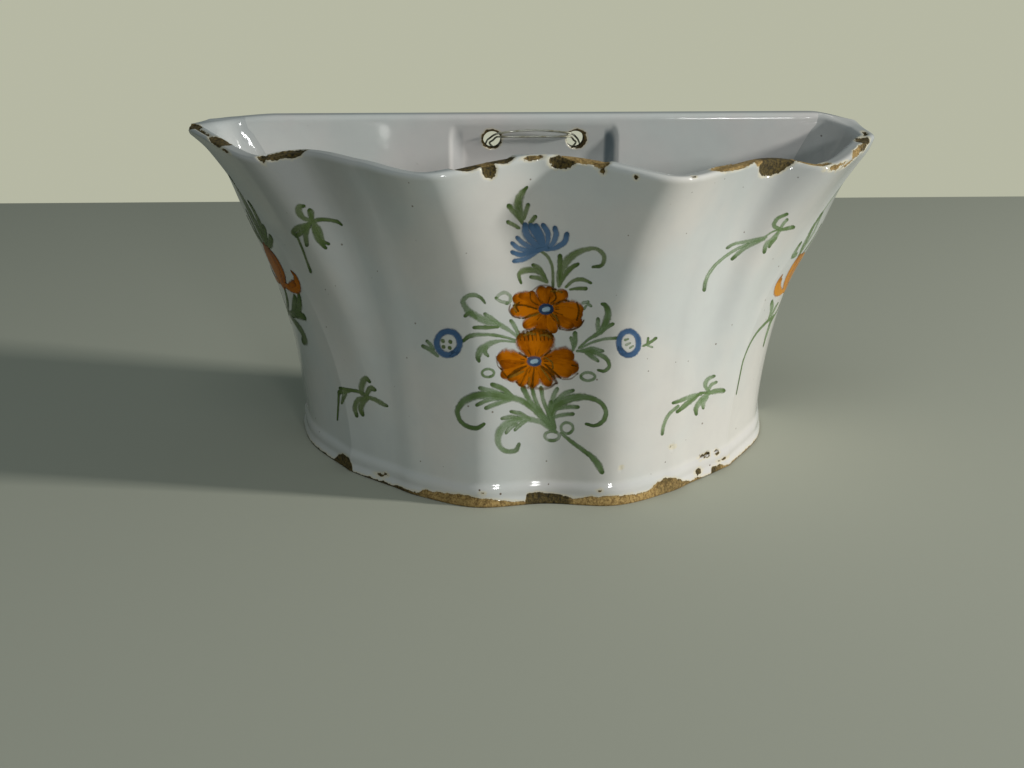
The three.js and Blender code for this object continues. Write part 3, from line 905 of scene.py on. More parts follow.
green_strokes = [
    ((496, 298, 1.6), (500, 294, 2), (505, 292.5, 2), (510, 296, 2), (510, 301, 2), (507, 303.5, 2)),
    ((507, 303, 2), (500, 301, 1.8), (496, 298, 1.8)),
    ((583, 303, 2), (588, 302, 2)), ((588, 304, 2), (591, 306, 1.6)), ((586, 306, 1.6), (584, 309, 1.5)),
    ((519, 338, 1.6), (510, 331, 2.2), (499, 324.5, 3.2), (486, 321, 4.2), (474, 315, 4.2),
     (466, 308, 3.4), (463, 301, 2.8), (468, 296, 2.6), (475, 295, 2.4), (481, 298, 2), (485, 303, 1.4)),
    ((500, 325, 1.8), (491, 318, 2.8), (485, 314, 2.2)),
    ((498, 327, 1.6), (484, 327.5, 2.4), (474, 327.5, 2)),
    ((476, 318, 2), (470, 313, 3), (465, 316, 1.8)),
    ((519, 336, 1.8), (515, 327, 2.6), (511, 321, 2.4)),
    ((515, 340, 1.3), (500, 336, 1.8), (485, 334.5, 2), (470, 336, 2.6), (463, 341, 2)),
    ((515, 342, 1.2), (500, 341, 1.8), (489, 344, 3.4), (481, 350, 4.2), (478, 357, 3), (479, 361, 2)),
    ((486, 347, 2.4), (485, 352, 2.6), (488, 356, 1.6)),
    ((438, 356, 1.8), (431, 350, 2.8), (423, 346, 2.2)),
    ((434, 349, 1.6), (431, 345, 2.2), (427, 341, 1.8)),
    ((556, 432, 2), (545, 421, 3), (533, 409, 3), (520, 400, 3.4), (505, 397, 4), (490, 395, 4.4),
     (475, 396, 4.4), (463, 402, 4), (457.5, 411, 3), (460, 420, 2.4), (467, 426, 2.4), (477, 428, 2.6),
     (484, 424, 2)),
    ((514, 398, 2), (503, 389, 3.2), (492, 384.5, 2.4)),
    ((506, 395, 1.6), (492, 391, 2.8), (480, 388, 2.4)),
    ((500, 398, 1.6), (486, 401, 2.4), (477, 405, 2.2)),
    ((510, 400, 1.8), (497, 403.5, 2.8), (486, 408, 2.4)),
    ((553, 428, 2), (537, 410, 2.6), (528, 398, 3), (523, 388, 3.2)),
    ((554, 427, 1.8), (541, 411, 2.2), (535, 399, 2.4), (532, 388, 2.4)),
    ((555, 426, 1.8), (548, 412, 2.2), (543, 399, 2.4), (541, 388, 2.6)),
    ((552, 430, 2), (540, 422, 2.8), (528, 419, 3.4), (514, 420.5, 4), (503, 427, 4.4), (498, 437, 4),
     (500, 447, 3), (508, 451.5, 2.6), (516, 450, 2.8), (519, 444, 2)),
    ((530, 419, 1.8), (521, 414, 2.6), (511, 411.5, 2)),
    ((521, 419, 1.8), (511, 417, 2.6), (502, 418.5, 2)),
    ((516, 424, 2), (510, 428, 2.6), (506, 433, 1.8)),
    ((526, 421, 1.8), (520, 425, 2.4), (515, 430, 1.8)),
    ((555, 428, 2), (552, 416, 3.4), (556, 406, 5), (566, 400, 5), (579, 397, 4.2), (591, 398, 3.2),
     (601, 403, 2.6), (606, 412, 2.6), (603, 421, 2.6), (595, 425.5, 2), (586, 424, 1.6)),
    ((552, 410, 2.2), (553, 398, 3), (557, 389, 2.6)),
    ((556, 402, 2.4), (564, 394, 3), (573, 390.5, 2.2)),
    ((556, 409, 2), (567, 407, 2.6), (578, 407, 2.2)),
    ((552, 418, 2), (562, 415, 2.4), (573, 414, 2.2)),
    ((549, 424, 2), (549, 411, 3), (551, 402, 2.4)),
    ((561, 433, 1.6), (572, 442, 2.4), (583, 450, 2.6), (589, 455, 2.2)),
    ((588, 453, 2.4), (594, 459, 3.6), (599, 466, 4), (602, 472, 2.8)),
    ((579, 348, 1.4), (589, 339, 1.8), (600, 332, 3), (606, 322, 4), (608, 312, 3.6), (605, 305, 2.6),
     (602, 304, 1.8)),
    ((598, 334, 1.6), (598, 326, 2.8), (598, 319, 2.2)),
    ((601, 333, 1.6), (607, 327, 2.4), (613, 324, 2)),
    ((581, 348, 1.2), (592, 342.5, 1.6), (605, 339, 1.8), (617, 338, 2)),
    ((573, 350, 1.8), (575, 342, 3), (575, 333, 2.6)),
    ((573, 346, 1.6), (571, 338, 2.2)),
    ((577, 351, 1.6), (590, 351, 3), (601, 355, 2.8), (608, 361, 2.4), (609, 367, 2), (604, 371, 2),
     (598, 370, 1.4)),
    ((582, 351, 1.8), (592, 348.5, 2.4), (603, 351, 1.8)),
    ((586, 353, 1.8), (593, 357, 2.8), (598, 361, 1.8)),
    ((643, 346, 1.2), (649, 343, 1.8), (656, 338, 1.6)),
    ((647, 344, 1.2), (648, 338, 1.4)),
    ((646, 345, 1.2), (652, 347, 1.3)),
    ((625, 340, 1.5), (628, 339, 1.2)), ((626, 345, 1.5), (630, 343, 1.2)),
    ((630, 348, 1.3), (633, 346, 1.1)),
    ((748, 244, 1.6), (735, 250, 1.8), (722, 259, 1.8), (712, 269, 2), (706, 280, 2.2), (704, 290, 2.2)),
    ((766, 237, 1.8), (756, 240, 2.4), (744, 242, 2), (734, 244, 1.8), (727, 248, 1.7)),
    ((764, 239, 1.8), (752, 244, 2.6), (742, 250, 2.4), (732, 259, 2)),
    ((766, 236, 1), (772, 232, 1), (780, 229, 1.2)),
    ((780, 229, 2), (774, 226, 2.4), (777, 219, 2.2), (787, 214, 1.8)),
    ((780, 229, 1.8), (783, 224, 1.8), (787, 219.5, 1.8)),
    ((780, 230, 1.6), (787, 228.5, 2.2), (793, 227, 2.4)),
    ((780, 230, 1.6), (774, 238, 2.6), (766, 245, 2.8), (764, 252, 2.2)),
    ((776, 238, 1.6), (771, 243, 2.2), (769, 247, 1.4)),
    ((678, 406, 1.8), (669, 414, 2), (664, 424, 2), (662, 434, 2)),
    ((701, 394, 1.8), (692, 396, 2.4), (682, 400, 2.4), (673, 403, 1.8)),
    ((698, 395, 1.8), (690, 401, 3), (683, 407, 2.6), (677, 412, 1.8)),
    ((700, 393, 1.4), (708, 392.5, 1.6)),
    ((709, 393, 2.2), (716, 391, 3), (723, 390.5, 2.8)),
    ((709, 392, 2), (705, 385, 2.4), (708, 379, 2.4), (714, 376, 1.8)),
    ((708, 390, 1.6), (711, 385, 2), (716, 382, 1.8)),
    ((709, 393, 2.2), (701, 400, 2.8), (696, 408, 2.8), (696, 414, 2)),
    ((707, 397, 2), (703, 402, 3), (703, 408, 1.8)),
]
blue_strokes = [
    ((540, 250, 1.8), (533, 254, 2.6), (524, 259, 2.8), (514, 261, 2.6)),
    ((539, 250, 1.6), (530, 252, 2.6), (520, 254.5, 2.8), (512, 252, 2.4)),
    ((539, 249, 1.6), (528, 250, 2.6), (518, 248, 2.8), (512, 243, 2.4)),
    ((540, 248, 1.6), (531, 247, 2.6), (523, 243, 2.8), (517, 237.5, 2.4)),
    ((542, 248, 2), (533, 242, 4), (526, 233, 4.6), (525, 225, 3.4)),
    ((543, 247, 2.4), (538, 237, 4.6), (531, 226, 4)),
    ((544, 247, 2), (541, 236, 4), (536, 226, 3.6)),
    ((545, 248, 1.8), (548, 239, 3), (547, 231, 3.4), (543, 225, 2.8)),
    ((546, 249, 1.8), (553, 243, 3), (556, 235, 3.4), (555, 228, 3)),
    ((546, 250, 1.8), (557, 247, 3), (565, 241, 3.4), (567, 234, 3)),
    ((538, 250, 2.6), (547, 248, 3)),
]
orange_strokes = [
    ((540, 305, 3), (533, 298, 5.4), (532, 295, 5.2)),
    ((538, 306, 3), (526, 300, 6.9), (519, 299, 7.9)), ((538, 307, 3), (528, 298, 6.9), (524, 297, 6.9)),
    ((537, 311, 3), (524, 311, 6.9), (516, 311, 6.9)),
    ((543, 304, 3), (543, 296, 7.4), (542, 292, 7.4)),
    ((546, 303, 3), (549, 295, 6.9), (549, 291.5, 6.4)),
    ((550, 304, 3), (558, 297, 6.9), (562, 295, 7.4)),
    ((555, 307, 3), (568, 308, 8.4), (576, 309, 8.9)), ((555, 311, 3), (568, 318, 8.9), (575, 321, 8.9)),
    ((553, 313, 3), (562, 320, 7.9), (568, 323, 7.9)), ((556, 309, 4), (570, 313, 8.9), (577, 314, 6.9)),
    ((542, 313, 3), (533, 321, 7.4), (528, 324, 6.9)), ((545, 314, 3), (543, 323, 7.9), (541, 328, 7.4)),
    ((549, 314, 3), (551, 323, 7.4), (553, 328, 6.4)),
    ((531, 357, 3), (525, 345, 8.4), (523, 340, 8.4)), ((537, 357, 3), (545, 345, 8.9), (547, 340, 9.4)),
    ((534, 356, 4), (535, 345, 8.9), (535, 337, 8.9)),
    ((526, 360, 3), (512, 358, 8.9), (505, 358, 9.9)), ((526, 362, 3), (514, 364, 7.9), (507, 363, 8.9)),
    ((527, 364, 3), (515, 371, 6.9), (506, 374, 6.9)), ((528, 365, 3), (518, 374, 6.9), (512, 377, 5.9)),
    ((543, 359, 3), (558, 356, 8.9), (566, 356, 9.9)), ((544, 362, 3), (560, 364, 9.4), (571, 367, 9.4)),
    ((543, 363, 3), (556, 368, 8.9), (565, 371, 8.9)),
    ((530, 366, 3), (524, 376, 6.9), (522, 381, 6.9)), ((534, 366, 4), (534, 377, 7.9), (533, 382, 6.9)),
    ((538, 366, 3), (545, 376, 7.9), (547, 380, 7.9)),
]
brown_lines = [
    ((538, 305, 0.6), (531, 300, 1), (530, 293, 0.6)), ((551, 303, 0.6), (556, 298, 1), (553, 289, 1.2)),
    ((556, 305, 0.6), (563, 300, 1), (569, 301, 1)), ((556, 314, 0.8), (559, 322, 1.4), (560, 329, 1)),
    ((538, 313, 1), (530, 316, 1.4), (522, 318, 1)), ((537, 309, 0.8), (524, 305, 1), (513, 305, 0.8)),
    ((560, 329, 0.8), (570, 330, 0.9), (580, 326, 0.9), (584, 320, 0.8)),
    ((510, 304, 0.8), (509, 310, 1), (513, 316, 1), (520, 318, 0.8)),
    ((531, 291, 0.8), (540, 285.5, 1), (548, 285.5, 1), (556, 289, 1)),
    ((577, 302, 0.9), (579, 310, 1.3), (577, 320, 0.9)), ((519, 302, 1), (516, 306, 1.4), (518, 311, 1)),
    ((517, 339, 1.2), (523, 332, 2), (533, 330, 2), (545, 331, 2), (553, 336, 1.4)),
    ((519, 352, 0.7), (526, 357, 1)), ((551, 350, 0.7), (545, 355, 1)),
    ((526, 366, 1), (517, 370, 2.2), (508, 377, 1.8)), ((506, 376, 1), (503, 372, 1), (500, 368, 0.8)),
    ((516, 382, 1), (524, 387, 1.4), (535, 388, 1.6), (547, 388, 1.6), (556, 383, 1.2)),
    ((541, 366, 1), (551, 373, 2.2), (557, 383, 1.4)), ((534, 367, 1), (533, 376, 1.4), (532, 386, 1.4)),
    ((545, 364, 1), (553, 371, 1.4), (561, 378, 0.9)), ((527, 369, 1), (524, 377, 1.2), (520, 385, 1)),
    ((562, 379, 0.7), (571, 378.5, 0.9), (578, 373, 0.9)), ((577, 366, 0.7), (572, 365, 1)),
    ((496, 356, 0.6), (498, 366, 0.8), (502, 369, 0.8)),
]
ochre_crumbs = [
    ((551, 291, 1.2), (557, 290.5, 1.6), (562, 292, 1.2)),
    ((515, 303, 1), (514, 308, 1.3), (516, 312, 1)),
    ((524, 335, 1.4), (529, 333, 1.8), (535, 334, 1.4)), ((540, 335, 1), (547, 335, 1.6), (551, 338, 1)),
    ((523, 371, 1.4), (514, 375, 1.8), (509, 377, 1)), ((541, 368, 1), (546, 374, 1.4), (550, 380, 1.2)),
    ((529, 377, 1), (529, 383, 1.4), (528, 387, 1)), ((539, 313, 0.8), (534, 315, 1), (528, 316, 0.8)),
    ((552, 313, 0.8), (556, 317, 1.1), (558, 321, 0.8)), ((545, 357, 0.8), (552, 362, 1), (553, 368, 1)),
]
# On the ends the points are given square on, as mm away from the front, up and half width
left_end_green = [
    ((16.4, 74.6, 1.2), (16.4, 77, 2.4), (16.4, 82.5, 3), (16.2, 87.6, 3), (15.4, 93, 2.6),
     (14.9, 98.2, 1.4)),
    ((15, 76, 1.2), (13, 79.5, 2), (9.9, 86.3, 2), (9.6, 90.5, 1.2)),
    ((16.4, 74.6, 1), (12.1, 78.4, 1.8), (8.2, 82.4, 1.4)),
    ((15, 74.2, 0.8), (11.5, 75.4, 1.4), (6.4, 79.2, 1.4)),
    ((19, 74, 0.9), (21.5, 79, 1.6), (21.6, 85, 1.2)), ((19.5, 73.8, 0.9), (25, 77.5, 1.5), (27, 82, 1)),
    ((14.5, 60.2, 1), (16.9, 54.1, 1.2), (23, 49, 1.2), (29.3, 45.6, 1), (30.5, 42, 0.8)),
    ((20, 48.5, 1), (14.9, 49.8, 1.6), (11.1, 53.3, 1.8), (7, 57.7, 1.3)),
    ((18, 48.6, 1), (10.2, 51.1, 1.6), (5.5, 55.6, 1.8), (3, 59.4, 1.2)),
    ((19, 48.4, 1), (8.6, 50.8, 1.9), (4.8, 51.1, 1.6)),
    ((29, 46, 0.9), (28.4, 50.3, 1.6), (27.3, 54.8, 1.2)),
    ((24, 48, 1.2), (18, 46.4, 2), (11.5, 44, 2.6), (10.4, 41.6, 2.4), (13.5, 39.6, 1.4)),
]
right_end_green = [
    ((13.1, 94.8, 0.5), (10, 90.5, 0.6), (7.4, 85.9, 0.7)),
    ((8.6, 70.9, 0.9), (6.6, 75.9, 1.9), (5.6, 80.5, 2), (7.2, 85.5, 1.2)),
    ((9, 71, 0.9), (9.6, 75, 1.6), (11, 79, 1.6), (8.4, 85.6, 0.9)),
    ((5, 71.5, 1.1), (2.2, 72.5, 1.4), (1.8, 76.4, 1)), ((14, 70.5, 0.9), (18, 74, 1.5), (20, 79, 1)),
    ((17.5, 56.6, 0.8), (20.4, 54.8, 0.8), (21, 51, 0.8), (15.6, 47.9, 0.8), (10, 47.6, 0.8),
     (4.4, 47.3, 0.9), (-2.4, 45.6, 0.9), (-6.3, 42.4, 0.8), (-8.6, 37.7, 0.7), (-8.6, 31.1, 0.6),
     (-8.7, 25.3, 0.5)),
    ((6.5, 48, 1.2), (7, 51, 1.8), (3.5, 55.2, 1.2)), ((9, 48.5, 1), (10.5, 50.5, 1.6), (12.6, 52, 1)),
    ((9.5, 46.5, 1), (10.5, 44.5, 2), (10, 41.5, 1.8), (9.9, 37.5, 0.9)),
    ((14, 47.6, 0.8), (12.2, 46.4, 1.2), (9.7, 45, 0.8)),
]
left_end_orange = [
    ((15.5, 60.3, 2), (13, 65, 3.2), (13.5, 70, 3), (17.5, 74, 1.2)),
    ((15.5, 60.3, 2), (18.5, 65, 3.2), (19.5, 70, 2.6), (18, 74, 1.2)),
    ((15.5, 60.3, 2.2), (16, 66, 3.6), (16.5, 72, 2.4)),
    ((14, 61, 1.6), (10.6, 65.5, 2), (11.4, 70, 2), (14.5, 73, 1.2)),
    ((14, 60.6, 1.2), (7, 60.8, 1.8), (2, 62.8, 2.2), (0.4, 66.2, 1.8), (1.8, 68, 0.8)),
    ((8, 61, 1.6), (3.6, 63, 2)), ((25, 61, 1.6), (29.4, 63, 2)),
    ((19, 60.6, 1.2), (26, 60.8, 1.8), (31, 62.8, 2.2), (32.6, 66.2, 1.8), (31.2, 68, 0.8)),
]
right_end_orange = [
    ((16.5, 56.5, 1.6), (11.5, 61.5, 2.4), (9.6, 66.5, 2.2), (9, 70, 0.9)),
    ((17, 56.5, 1.8), (16, 62, 3), (13, 68, 2.4), (9.5, 70.3, 1)),
    ((18, 56.5, 1.8), (20, 62, 3), (19, 67, 2.2), (14, 69.8, 1)),
    ((16.5, 56.4, 1), (10, 57, 1.5), (4, 59.4, 1.9), (1.8, 62.4, 1.6), (2.4, 64.8, 0.8)),
    ((9, 57.6, 1.4), (4.8, 60.4, 1.7), (3.6, 63, 1.1)),
    ((18.5, 56.4, 1), (25, 57, 1.5), (31, 59.4, 1.9), (33, 62.4, 1.6), (32.6, 64.8, 0.8)),
]


def ringed(middle, across, down, half_width, start=0.6):
    """A round stroke about a middle, closed with an overlap."""
    angle = start + np.linspace(0, 2 * math.pi + 0.7, 15)
    return [
        (middle[0] + across * math.cos(a), middle[1] + down * math.sin(a), half_width) for a in angle
    ]


def rayed(middle, flat, inner, outer, half_width, count):
    """Short strokes that run out from round a flower's eye, every other one shorter."""
    rays = []
    for k in range(count):
        angle = 2 * math.pi * (k + 0.3 * (k % 3)) / count
        way = np.array([math.cos(angle), flat * math.sin(angle)])
        reach = outer * (1 if k % 2 else 0.7)
        rays.append([(*(middle + way * share), half_width) for share in (inner, reach)])
    return rays


upper_eye, lower_eye = np.array([546, 309]), np.array([534, 361])
green_strokes += [
    ringed((488, 373), 6, 4, 1.5), ringed((588, 376.5), 7, 4, 1.7, 2.6), ringed((567, 428), 6, 5.5, 1.7),
    ringed((552, 436), 7.3, 4.6, 1.8, 1.2),
]
blue_rings = [ringed((448.5, 343), 11.4, 11.8, 3.5), ringed((628.5, 343), 9.8, 12, 3.2, 2)]
eye_rings = [ringed(upper_eye, 5.6, 3.6, 2.4), ringed(lower_eye, 5.6, 3.4, 2.2)]
brown_lines += rayed(upper_eye, 0.65, 9.5, 19, 0.5, 17) + rayed(lower_eye, 0.6, 10, 20, 0.5, 19)
brown_lines += [((x, 331, 1), (x + 1, 336, 1), (x + 1.5, 340, 0.6)) for x in range(519, 553, 4)]
eye_lights = [((544, 309.5, 2.6), (548, 308.5, 2.8)), ((532, 361.5, 2.4), (536, 360.5, 2.6))]


def centripetal(points, steps):
    """Points along a centripetal Catmull-Rom curve, steps of them between each two given."""
    longer = np.vstack([2 * points[0] - points[1], points, 2 * points[-1] - points[-2]])
    t = np.linspace(0, 1, steps, endpoint=False)[:, None]
    curve = []
    for p0, p1, p2, p3 in zip(longer[:-3], longer[1:-2], longer[2:-1], longer[3:]):
        d0, d1, d2 = (np.linalg.norm(b - a) ** 0.5 for a, b in ((p0, p1), (p1, p2), (p2, p3)))
        m1 = ((p1 - p0) / d0 - (p2 - p0) / (d0 + d1) + (p2 - p1) / d1) * d1
        m2 = ((p2 - p1) / d1 - (p3 - p1) / (d1 + d2) + (p3 - p2) / d2) * d1
        c2 = -3 * p1 + 3 * p2 - 2 * m1 - m2
        c3 = 2 * p1 - 2 * p2 + m1 + m2
        curve.append(p1 + m1 * t + c2 * t**2 + c3 * t**3)
    return np.vstack([*curve, points[-1]])


photo_width, photo_height = 1024, 768
focal = camera_data.lens / camera_data.sensor_width * photo_width
photo_middle = np.array([photo_width / 2, photo_height / 2, 0])
stroke_step = 0.45 * MM
curve_steps, least_steps = 12, 7
tip_reach = 0.85  # of the brush's round tip past a stroke's ends, in half widths
thinnest = 0.02
soft_edge = 1.14  # a stroke's pigment thins out beyond its seen half width
layer_count = 24


def stroke_lines(name, panels):
    """A mesh of the strokes' middle lines, laid flat: as seen from the camera at a distance of 1,
    or square on to an end in metres."""
    points, edges = [], []
    fields = {"half_width": [], "along": [], "tone": [], "panel": [], "layer": []}
    draw = np.random.default_rng(len(name))
    for panel, strokes in panels.items():
        for layer, stroke in enumerate(strokes):
            given = np.array(stroke, float)
            given = given * MM if panel else (given - photo_middle) * [1, -1, 1] / focal
            line = centripetal(given, curve_steps)
            for end, beside in ((0, 1), (-1, -2)):
                line[end, :2] += tip_reach * line[end, 2] * unit(line[end, :2] - line[beside, :2])
            run = np.concatenate([[0], np.cumsum(np.linalg.norm(np.diff(line, axis=0), axis=1))])
            at = np.linspace(0, run[-1], max(least_steps, round(run[-1] / stroke_step)) + 1)
            x, y, width = (np.interp(at, run, line[:, k]) for k in range(3))
            width = width * soft_edge
            to_end = np.minimum(at, run[-1] - at) / width
            width = width * np.sqrt(1 - (1 - np.clip(to_end, thinnest, 1)) ** 2)
            edges += [(k, k + 1) for k in range(len(points), len(points) + len(x) - 1)]
            points += zip(x, y, 0 * x)
            fields["half_width"] += width.tolist()
            fields["along"] += (at / run[-1]).tolist()
            for field, value in (
                ("tone", draw.random()), ("panel", panel), ("layer", layer % layer_count),
            ):
                fields[field] += [value] * len(x)
    mesh = bpy.data.meshes.new(name)
    mesh.from_pydata(points, edges, [])
    for field, values in fields.items():
        mesh.attributes.new(field, "FLOAT", "POINT").data.foreach_set("value", values)
    return mesh


def scaled(tree, vector, factor):
    links = {0: vector, "Scale": factor}
    return output_of(tree, "ShaderNodeVectorMath", links, operation="SCALE")


def summed(tree, first, second):
    return output_of(tree, "ShaderNodeVectorMath", {0: first, 1: second}, operation="ADD")


def combined(tree, parts):
    return output_of(tree, "ShaderNodeCombineXYZ", parts)


def split(tree, vector):
    return add_node(tree, "ShaderNodeSeparateXYZ", {"Vector": vector}).outputs


def read_field(tree, name):
    links = {"Name": name}
    return output_of(tree, "GeometryNodeInputNamedAttribute", links, "Attribute", data_type="FLOAT")


def stored(tree, geometry, name, value, kind):
    """Geometry with a value kept on its points."""
    links = {"Geometry": geometry, "Name": name, "Value": value}
    return output_of(tree, "GeometryNodeStoreNamedAttribute", links, data_type=kind, domain="POINT")


def finish_tree(tree, geometry, material, name):
    """A tree's end: its geometry smooth, real and with its material."""
    geometry = output_of(tree, "GeometryNodeSetShadeSmooth", {"Geometry": geometry})
    geometry = output_of(tree, "GeometryNodeRealizeInstances", {"Geometry": geometry})
    links = {"Geometry": geometry, "Material": material}
    add_node(tree, "NodeGroupOutput", {name: output_of(tree, "GeometryNodeSetMaterial", links)})


far_off = 0.3  # metres from the middle, outside both ends
tree = brush_tree = node_group(
    "brushed_strokes", "GeometryNodeTree",
    {"Lines": "Geometry", "Clay": "Object", "Eye": "Vector", "Right": "Vector", "Up": "Vector",
     "Ahead": "Vector", "Sides": "Int", "Lift": "Float", "Layer lift": "Float",
     "Thickness": "Float", "Pigment": "Material"},
    {"Painting": "Geometry"},
)
given = add_node(tree, "NodeGroupInput").outputs
line = output_of(tree, "GeometryNodeMeshToCurve", {"Mesh": given["Lines"]})
line = output_of(tree, "GeometryNodeSetCurveNormal", {"Curve": line}, mode="Z_UP")
circle = {"Resolution": given["Sides"], "Radius": 1.0}
ring = output_of(tree, "GeometryNodeCurvePrimitiveCircle", circle)
ring_place = split(tree, output_of(tree, "GeometryNodeInputPosition"))
for field, part in (("across", "X"), ("rise", "Y")):
    ring = stored(tree, ring, field, ring_place[part], "FLOAT")
stroke = output_of(tree, "GeometryNodeCurveToMesh", {
    "Curve": line, "Profile Curve": ring, "Scale": read_field(tree, "half_width"),
    "Fill Caps": True,
})
# From the camera through the photograph, or square on to an end from well outside it
flat = split(tree, output_of(tree, "GeometryNodeInputPosition"))
panel = read_field(tree, "panel")
on_end = maths(tree, "ABSOLUTE", panel)
on_front = minus(tree, 1.0, on_end)
sight = summed(tree, scaled(tree, given["Right"], flat["X"]), scaled(tree, given["Up"], flat["Y"]))
sight = scaled(tree, summed(tree, given["Ahead"], sight), on_front)
sight = summed(tree, sight, combined(tree, {"X": times(tree, panel, -1.0)}))
outside = combined(tree, {"X": times(tree, panel, far_off), "Y": flat["X"], "Z": flat["Y"]})
start = summed(tree, scaled(tree, given["Eye"], on_front), scaled(tree, outside, on_end))
clay = output_of(tree, "GeometryNodeObjectInfo", {"Object": given["Clay"]}, "Geometry")
touch = add_node(
    tree, "GeometryNodeRaycast",
    {"Target Geometry": clay, "Attribute": output_of(tree, "GeometryNodeInputNormal"),
     "Source Position": start, "Ray Direction": sight, "Ray Length": 2.0},
    data_type="FLOAT_VECTOR", mapping="INTERPOLATED",
).outputs
lift = plus(tree, times(tree, read_field(tree, "layer"), given["Layer lift"]), given["Lift"])
lift = plus(tree, lift, times(tree, read_field(tree, "rise"), given["Thickness"]))
stroke = stored(tree, stroke, "clay_facing", touch["Attribute"], "FLOAT_VECTOR")
laid = output_of(tree, "GeometryNodeSetPosition", {
    "Geometry": stroke, "Selection": touch["Is Hit"], "Position": touch["Hit Position"],
    "Offset": scaled(tree, touch["Hit Normal"], lift),
})
finish_tree(tree, laid, given["Pigment"], "Painting")

# Pigment as the brush leaves it: streaked along the stroke, thin where it ran dry, gathered at
# the edges and where the stroke ended
tree = brush_mark = node_group(
    "brush_mark", "ShaderNodeTree",
    {"Place": "Vector", "Across": "Float", "Along": "Float", "Tone": "Float", "Thin": "Color",
     "Full": "Color", "Gathered": "Color", "Edge": "Float", "Thin cover": "Float",
     "Full cover": "Float"},
    {"Color": "Color", "Alpha": "Float"},
)
given = add_node(tree, "NodeGroupInput").outputs
streak_place = combined(tree, {
    "X": times(tree, given["Across"], 3.0), "Y": times(tree, given["Along"], 2.0),
    "Z": times(tree, given["Tone"], 37.0),
})
streaks = ramp(tree, noise(tree, streak_place, 1.5, 4.0, 0.65), 0.3, 0.7)
washes = ramp(tree, noise(tree, given["Place"], 240.0), 0.3, 0.7)
darker = minus(tree, given["Tone"], 0.5)
loaded = ramp(tree, given["Along"], 0.7, 1.0)
amount = times(tree, streaks, 0.45)
for part, share in ((washes, 0.4), (darker, 0.6), (loaded, 0.45)):
    amount = plus(tree, amount, times(tree, part, share))
amount = ramp(tree, amount, 0.1, 1.0)
side = maths(tree, "ABSOLUTE", given["Across"])
rim = times(tree, ramp(tree, side, 0.5, 0.9), given["Edge"])
ending = times(tree, ramp(tree, given["Along"], 0.8, 0.97), 0.62)
pigment = blend_colours(tree, amount, given["Thin"], given["Full"])
pigment = blend_colours(tree, maths(tree, "MAXIMUM", rim, ending), pigment, given["Gathered"])
frayed = times(tree, minus(tree, noise(tree, given["Place"], 900.0), 0.5), 0.5)
inside = plus(tree, minus(tree, 1.0, side), frayed)
more = times(tree, minus(tree, given["Full cover"], given["Thin cover"]), amount)
alpha = times(tree, ramp(tree, inside, 0.0, 0.6), plus(tree, given["Thin cover"], more))
add_node(tree, "NodeGroupOutput", {"Color": pigment, "Alpha": alpha})


def grown(name, mesh, tree, values):
    """The plain mesh that a Geometry Nodes tree with these inputs makes of a mesh."""
    seed = bpy.data.objects.new(name + "_line", mesh)
    bpy.context.scene.collection.objects.link(seed)
    modifier = seed.modifiers.new(name, "NODES")
    modifier.node_group = tree
    for item in tree.interface.items_tree:
        if item.in_out == "INPUT" and item.name in values:
            modifier[item.identifier] = values[item.name]
    seed.update_tag()
    evaluated = seed.evaluated_get(bpy.context.evaluated_depsgraph_get())
    made = bpy.data.meshes.new_from_object(evaluated)
    seed.modifiers.remove(modifier)
    bpy.data.objects.remove(seed)
    made.name = name
    piece = bpy.data.objects.new(name, made)
    bpy.context.scene.collection.objects.link(piece)
    return piece


camera_axes = camera.rotation_euler.to_matrix()
ways = {"Right": (1, 0, 0), "Up": (0, 1, 0), "Ahead": (0, 0, -1)}
view = {"Eye": camera.location, **{name: camera_axes @ Vector(way) for name, way in ways.items()}}
brush_sides = 12
pigment_lift, layer_lift, pigment_thickness = 0.03 * MM, 0.003 * MM, 0.04 * MM


def painted(name, panels, colours, edge, cover, lift):
    """A piece of painted strokes on the wall and its pigment, which lies in the glaze: it is lit
    the way the clay under it faces and throws no shadow."""
    material, tree, shader = plain_material(name + "_pigment")
    links = {
        **read_points(tree, ("across", "along", "tone")),
        **{stage: (*colour, 1) for stage, colour in zip(("Thin", "Full", "Gathered"), colours)},
        "Place": output_of(tree, "ShaderNodeTexCoord", None, "Object"),
        "Edge": edge, "Thin cover": cover[0], "Full cover": cover[1],
    }
    mark = add_node(tree, "ShaderNodeGroup", links, node_tree=brush_mark).outputs
    facing = output_of(tree, "ShaderNodeAttribute", None, "Vector", attribute_name="clay_facing")
    facing = output_of(
        tree, "ShaderNodeVectorTransform", {"Vector": facing}, vector_type="NORMAL",
        convert_from="OBJECT", convert_to="WORLD",
    )
    seen = minus(tree, 1.0, output_of(tree, "ShaderNodeLightPath", None, "Is Shadow Ray"))
    tree.links.new(mark["Color"], shader.inputs["Base Color"])
    tree.links.new(facing, shader.inputs["Normal"])
    tree.links.new(times(tree, mark["Alpha"], seen), shader.inputs["Alpha"])
    shader.inputs["Roughness"].default_value = 0.1
    shader.inputs["Specular IOR Level"].default_value = 0.02
    piece = grown(name, stroke_lines(name, panels), brush_tree, {
        "Clay": front_wall, "Sides": brush_sides, "Lift": pigment_lift + lift * MM,
        "Layer lift": layer_lift, "Thickness": pigment_thickness, "Pigment": material, **view,
    })
    solid = bmesh.new()
    solid.from_mesh(piece.data)
    bmesh.ops.recalc_face_normals(solid, faces=solid.faces)
    solid.to_mesh(piece.data)
    solid.free()
    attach(piece, "pot")


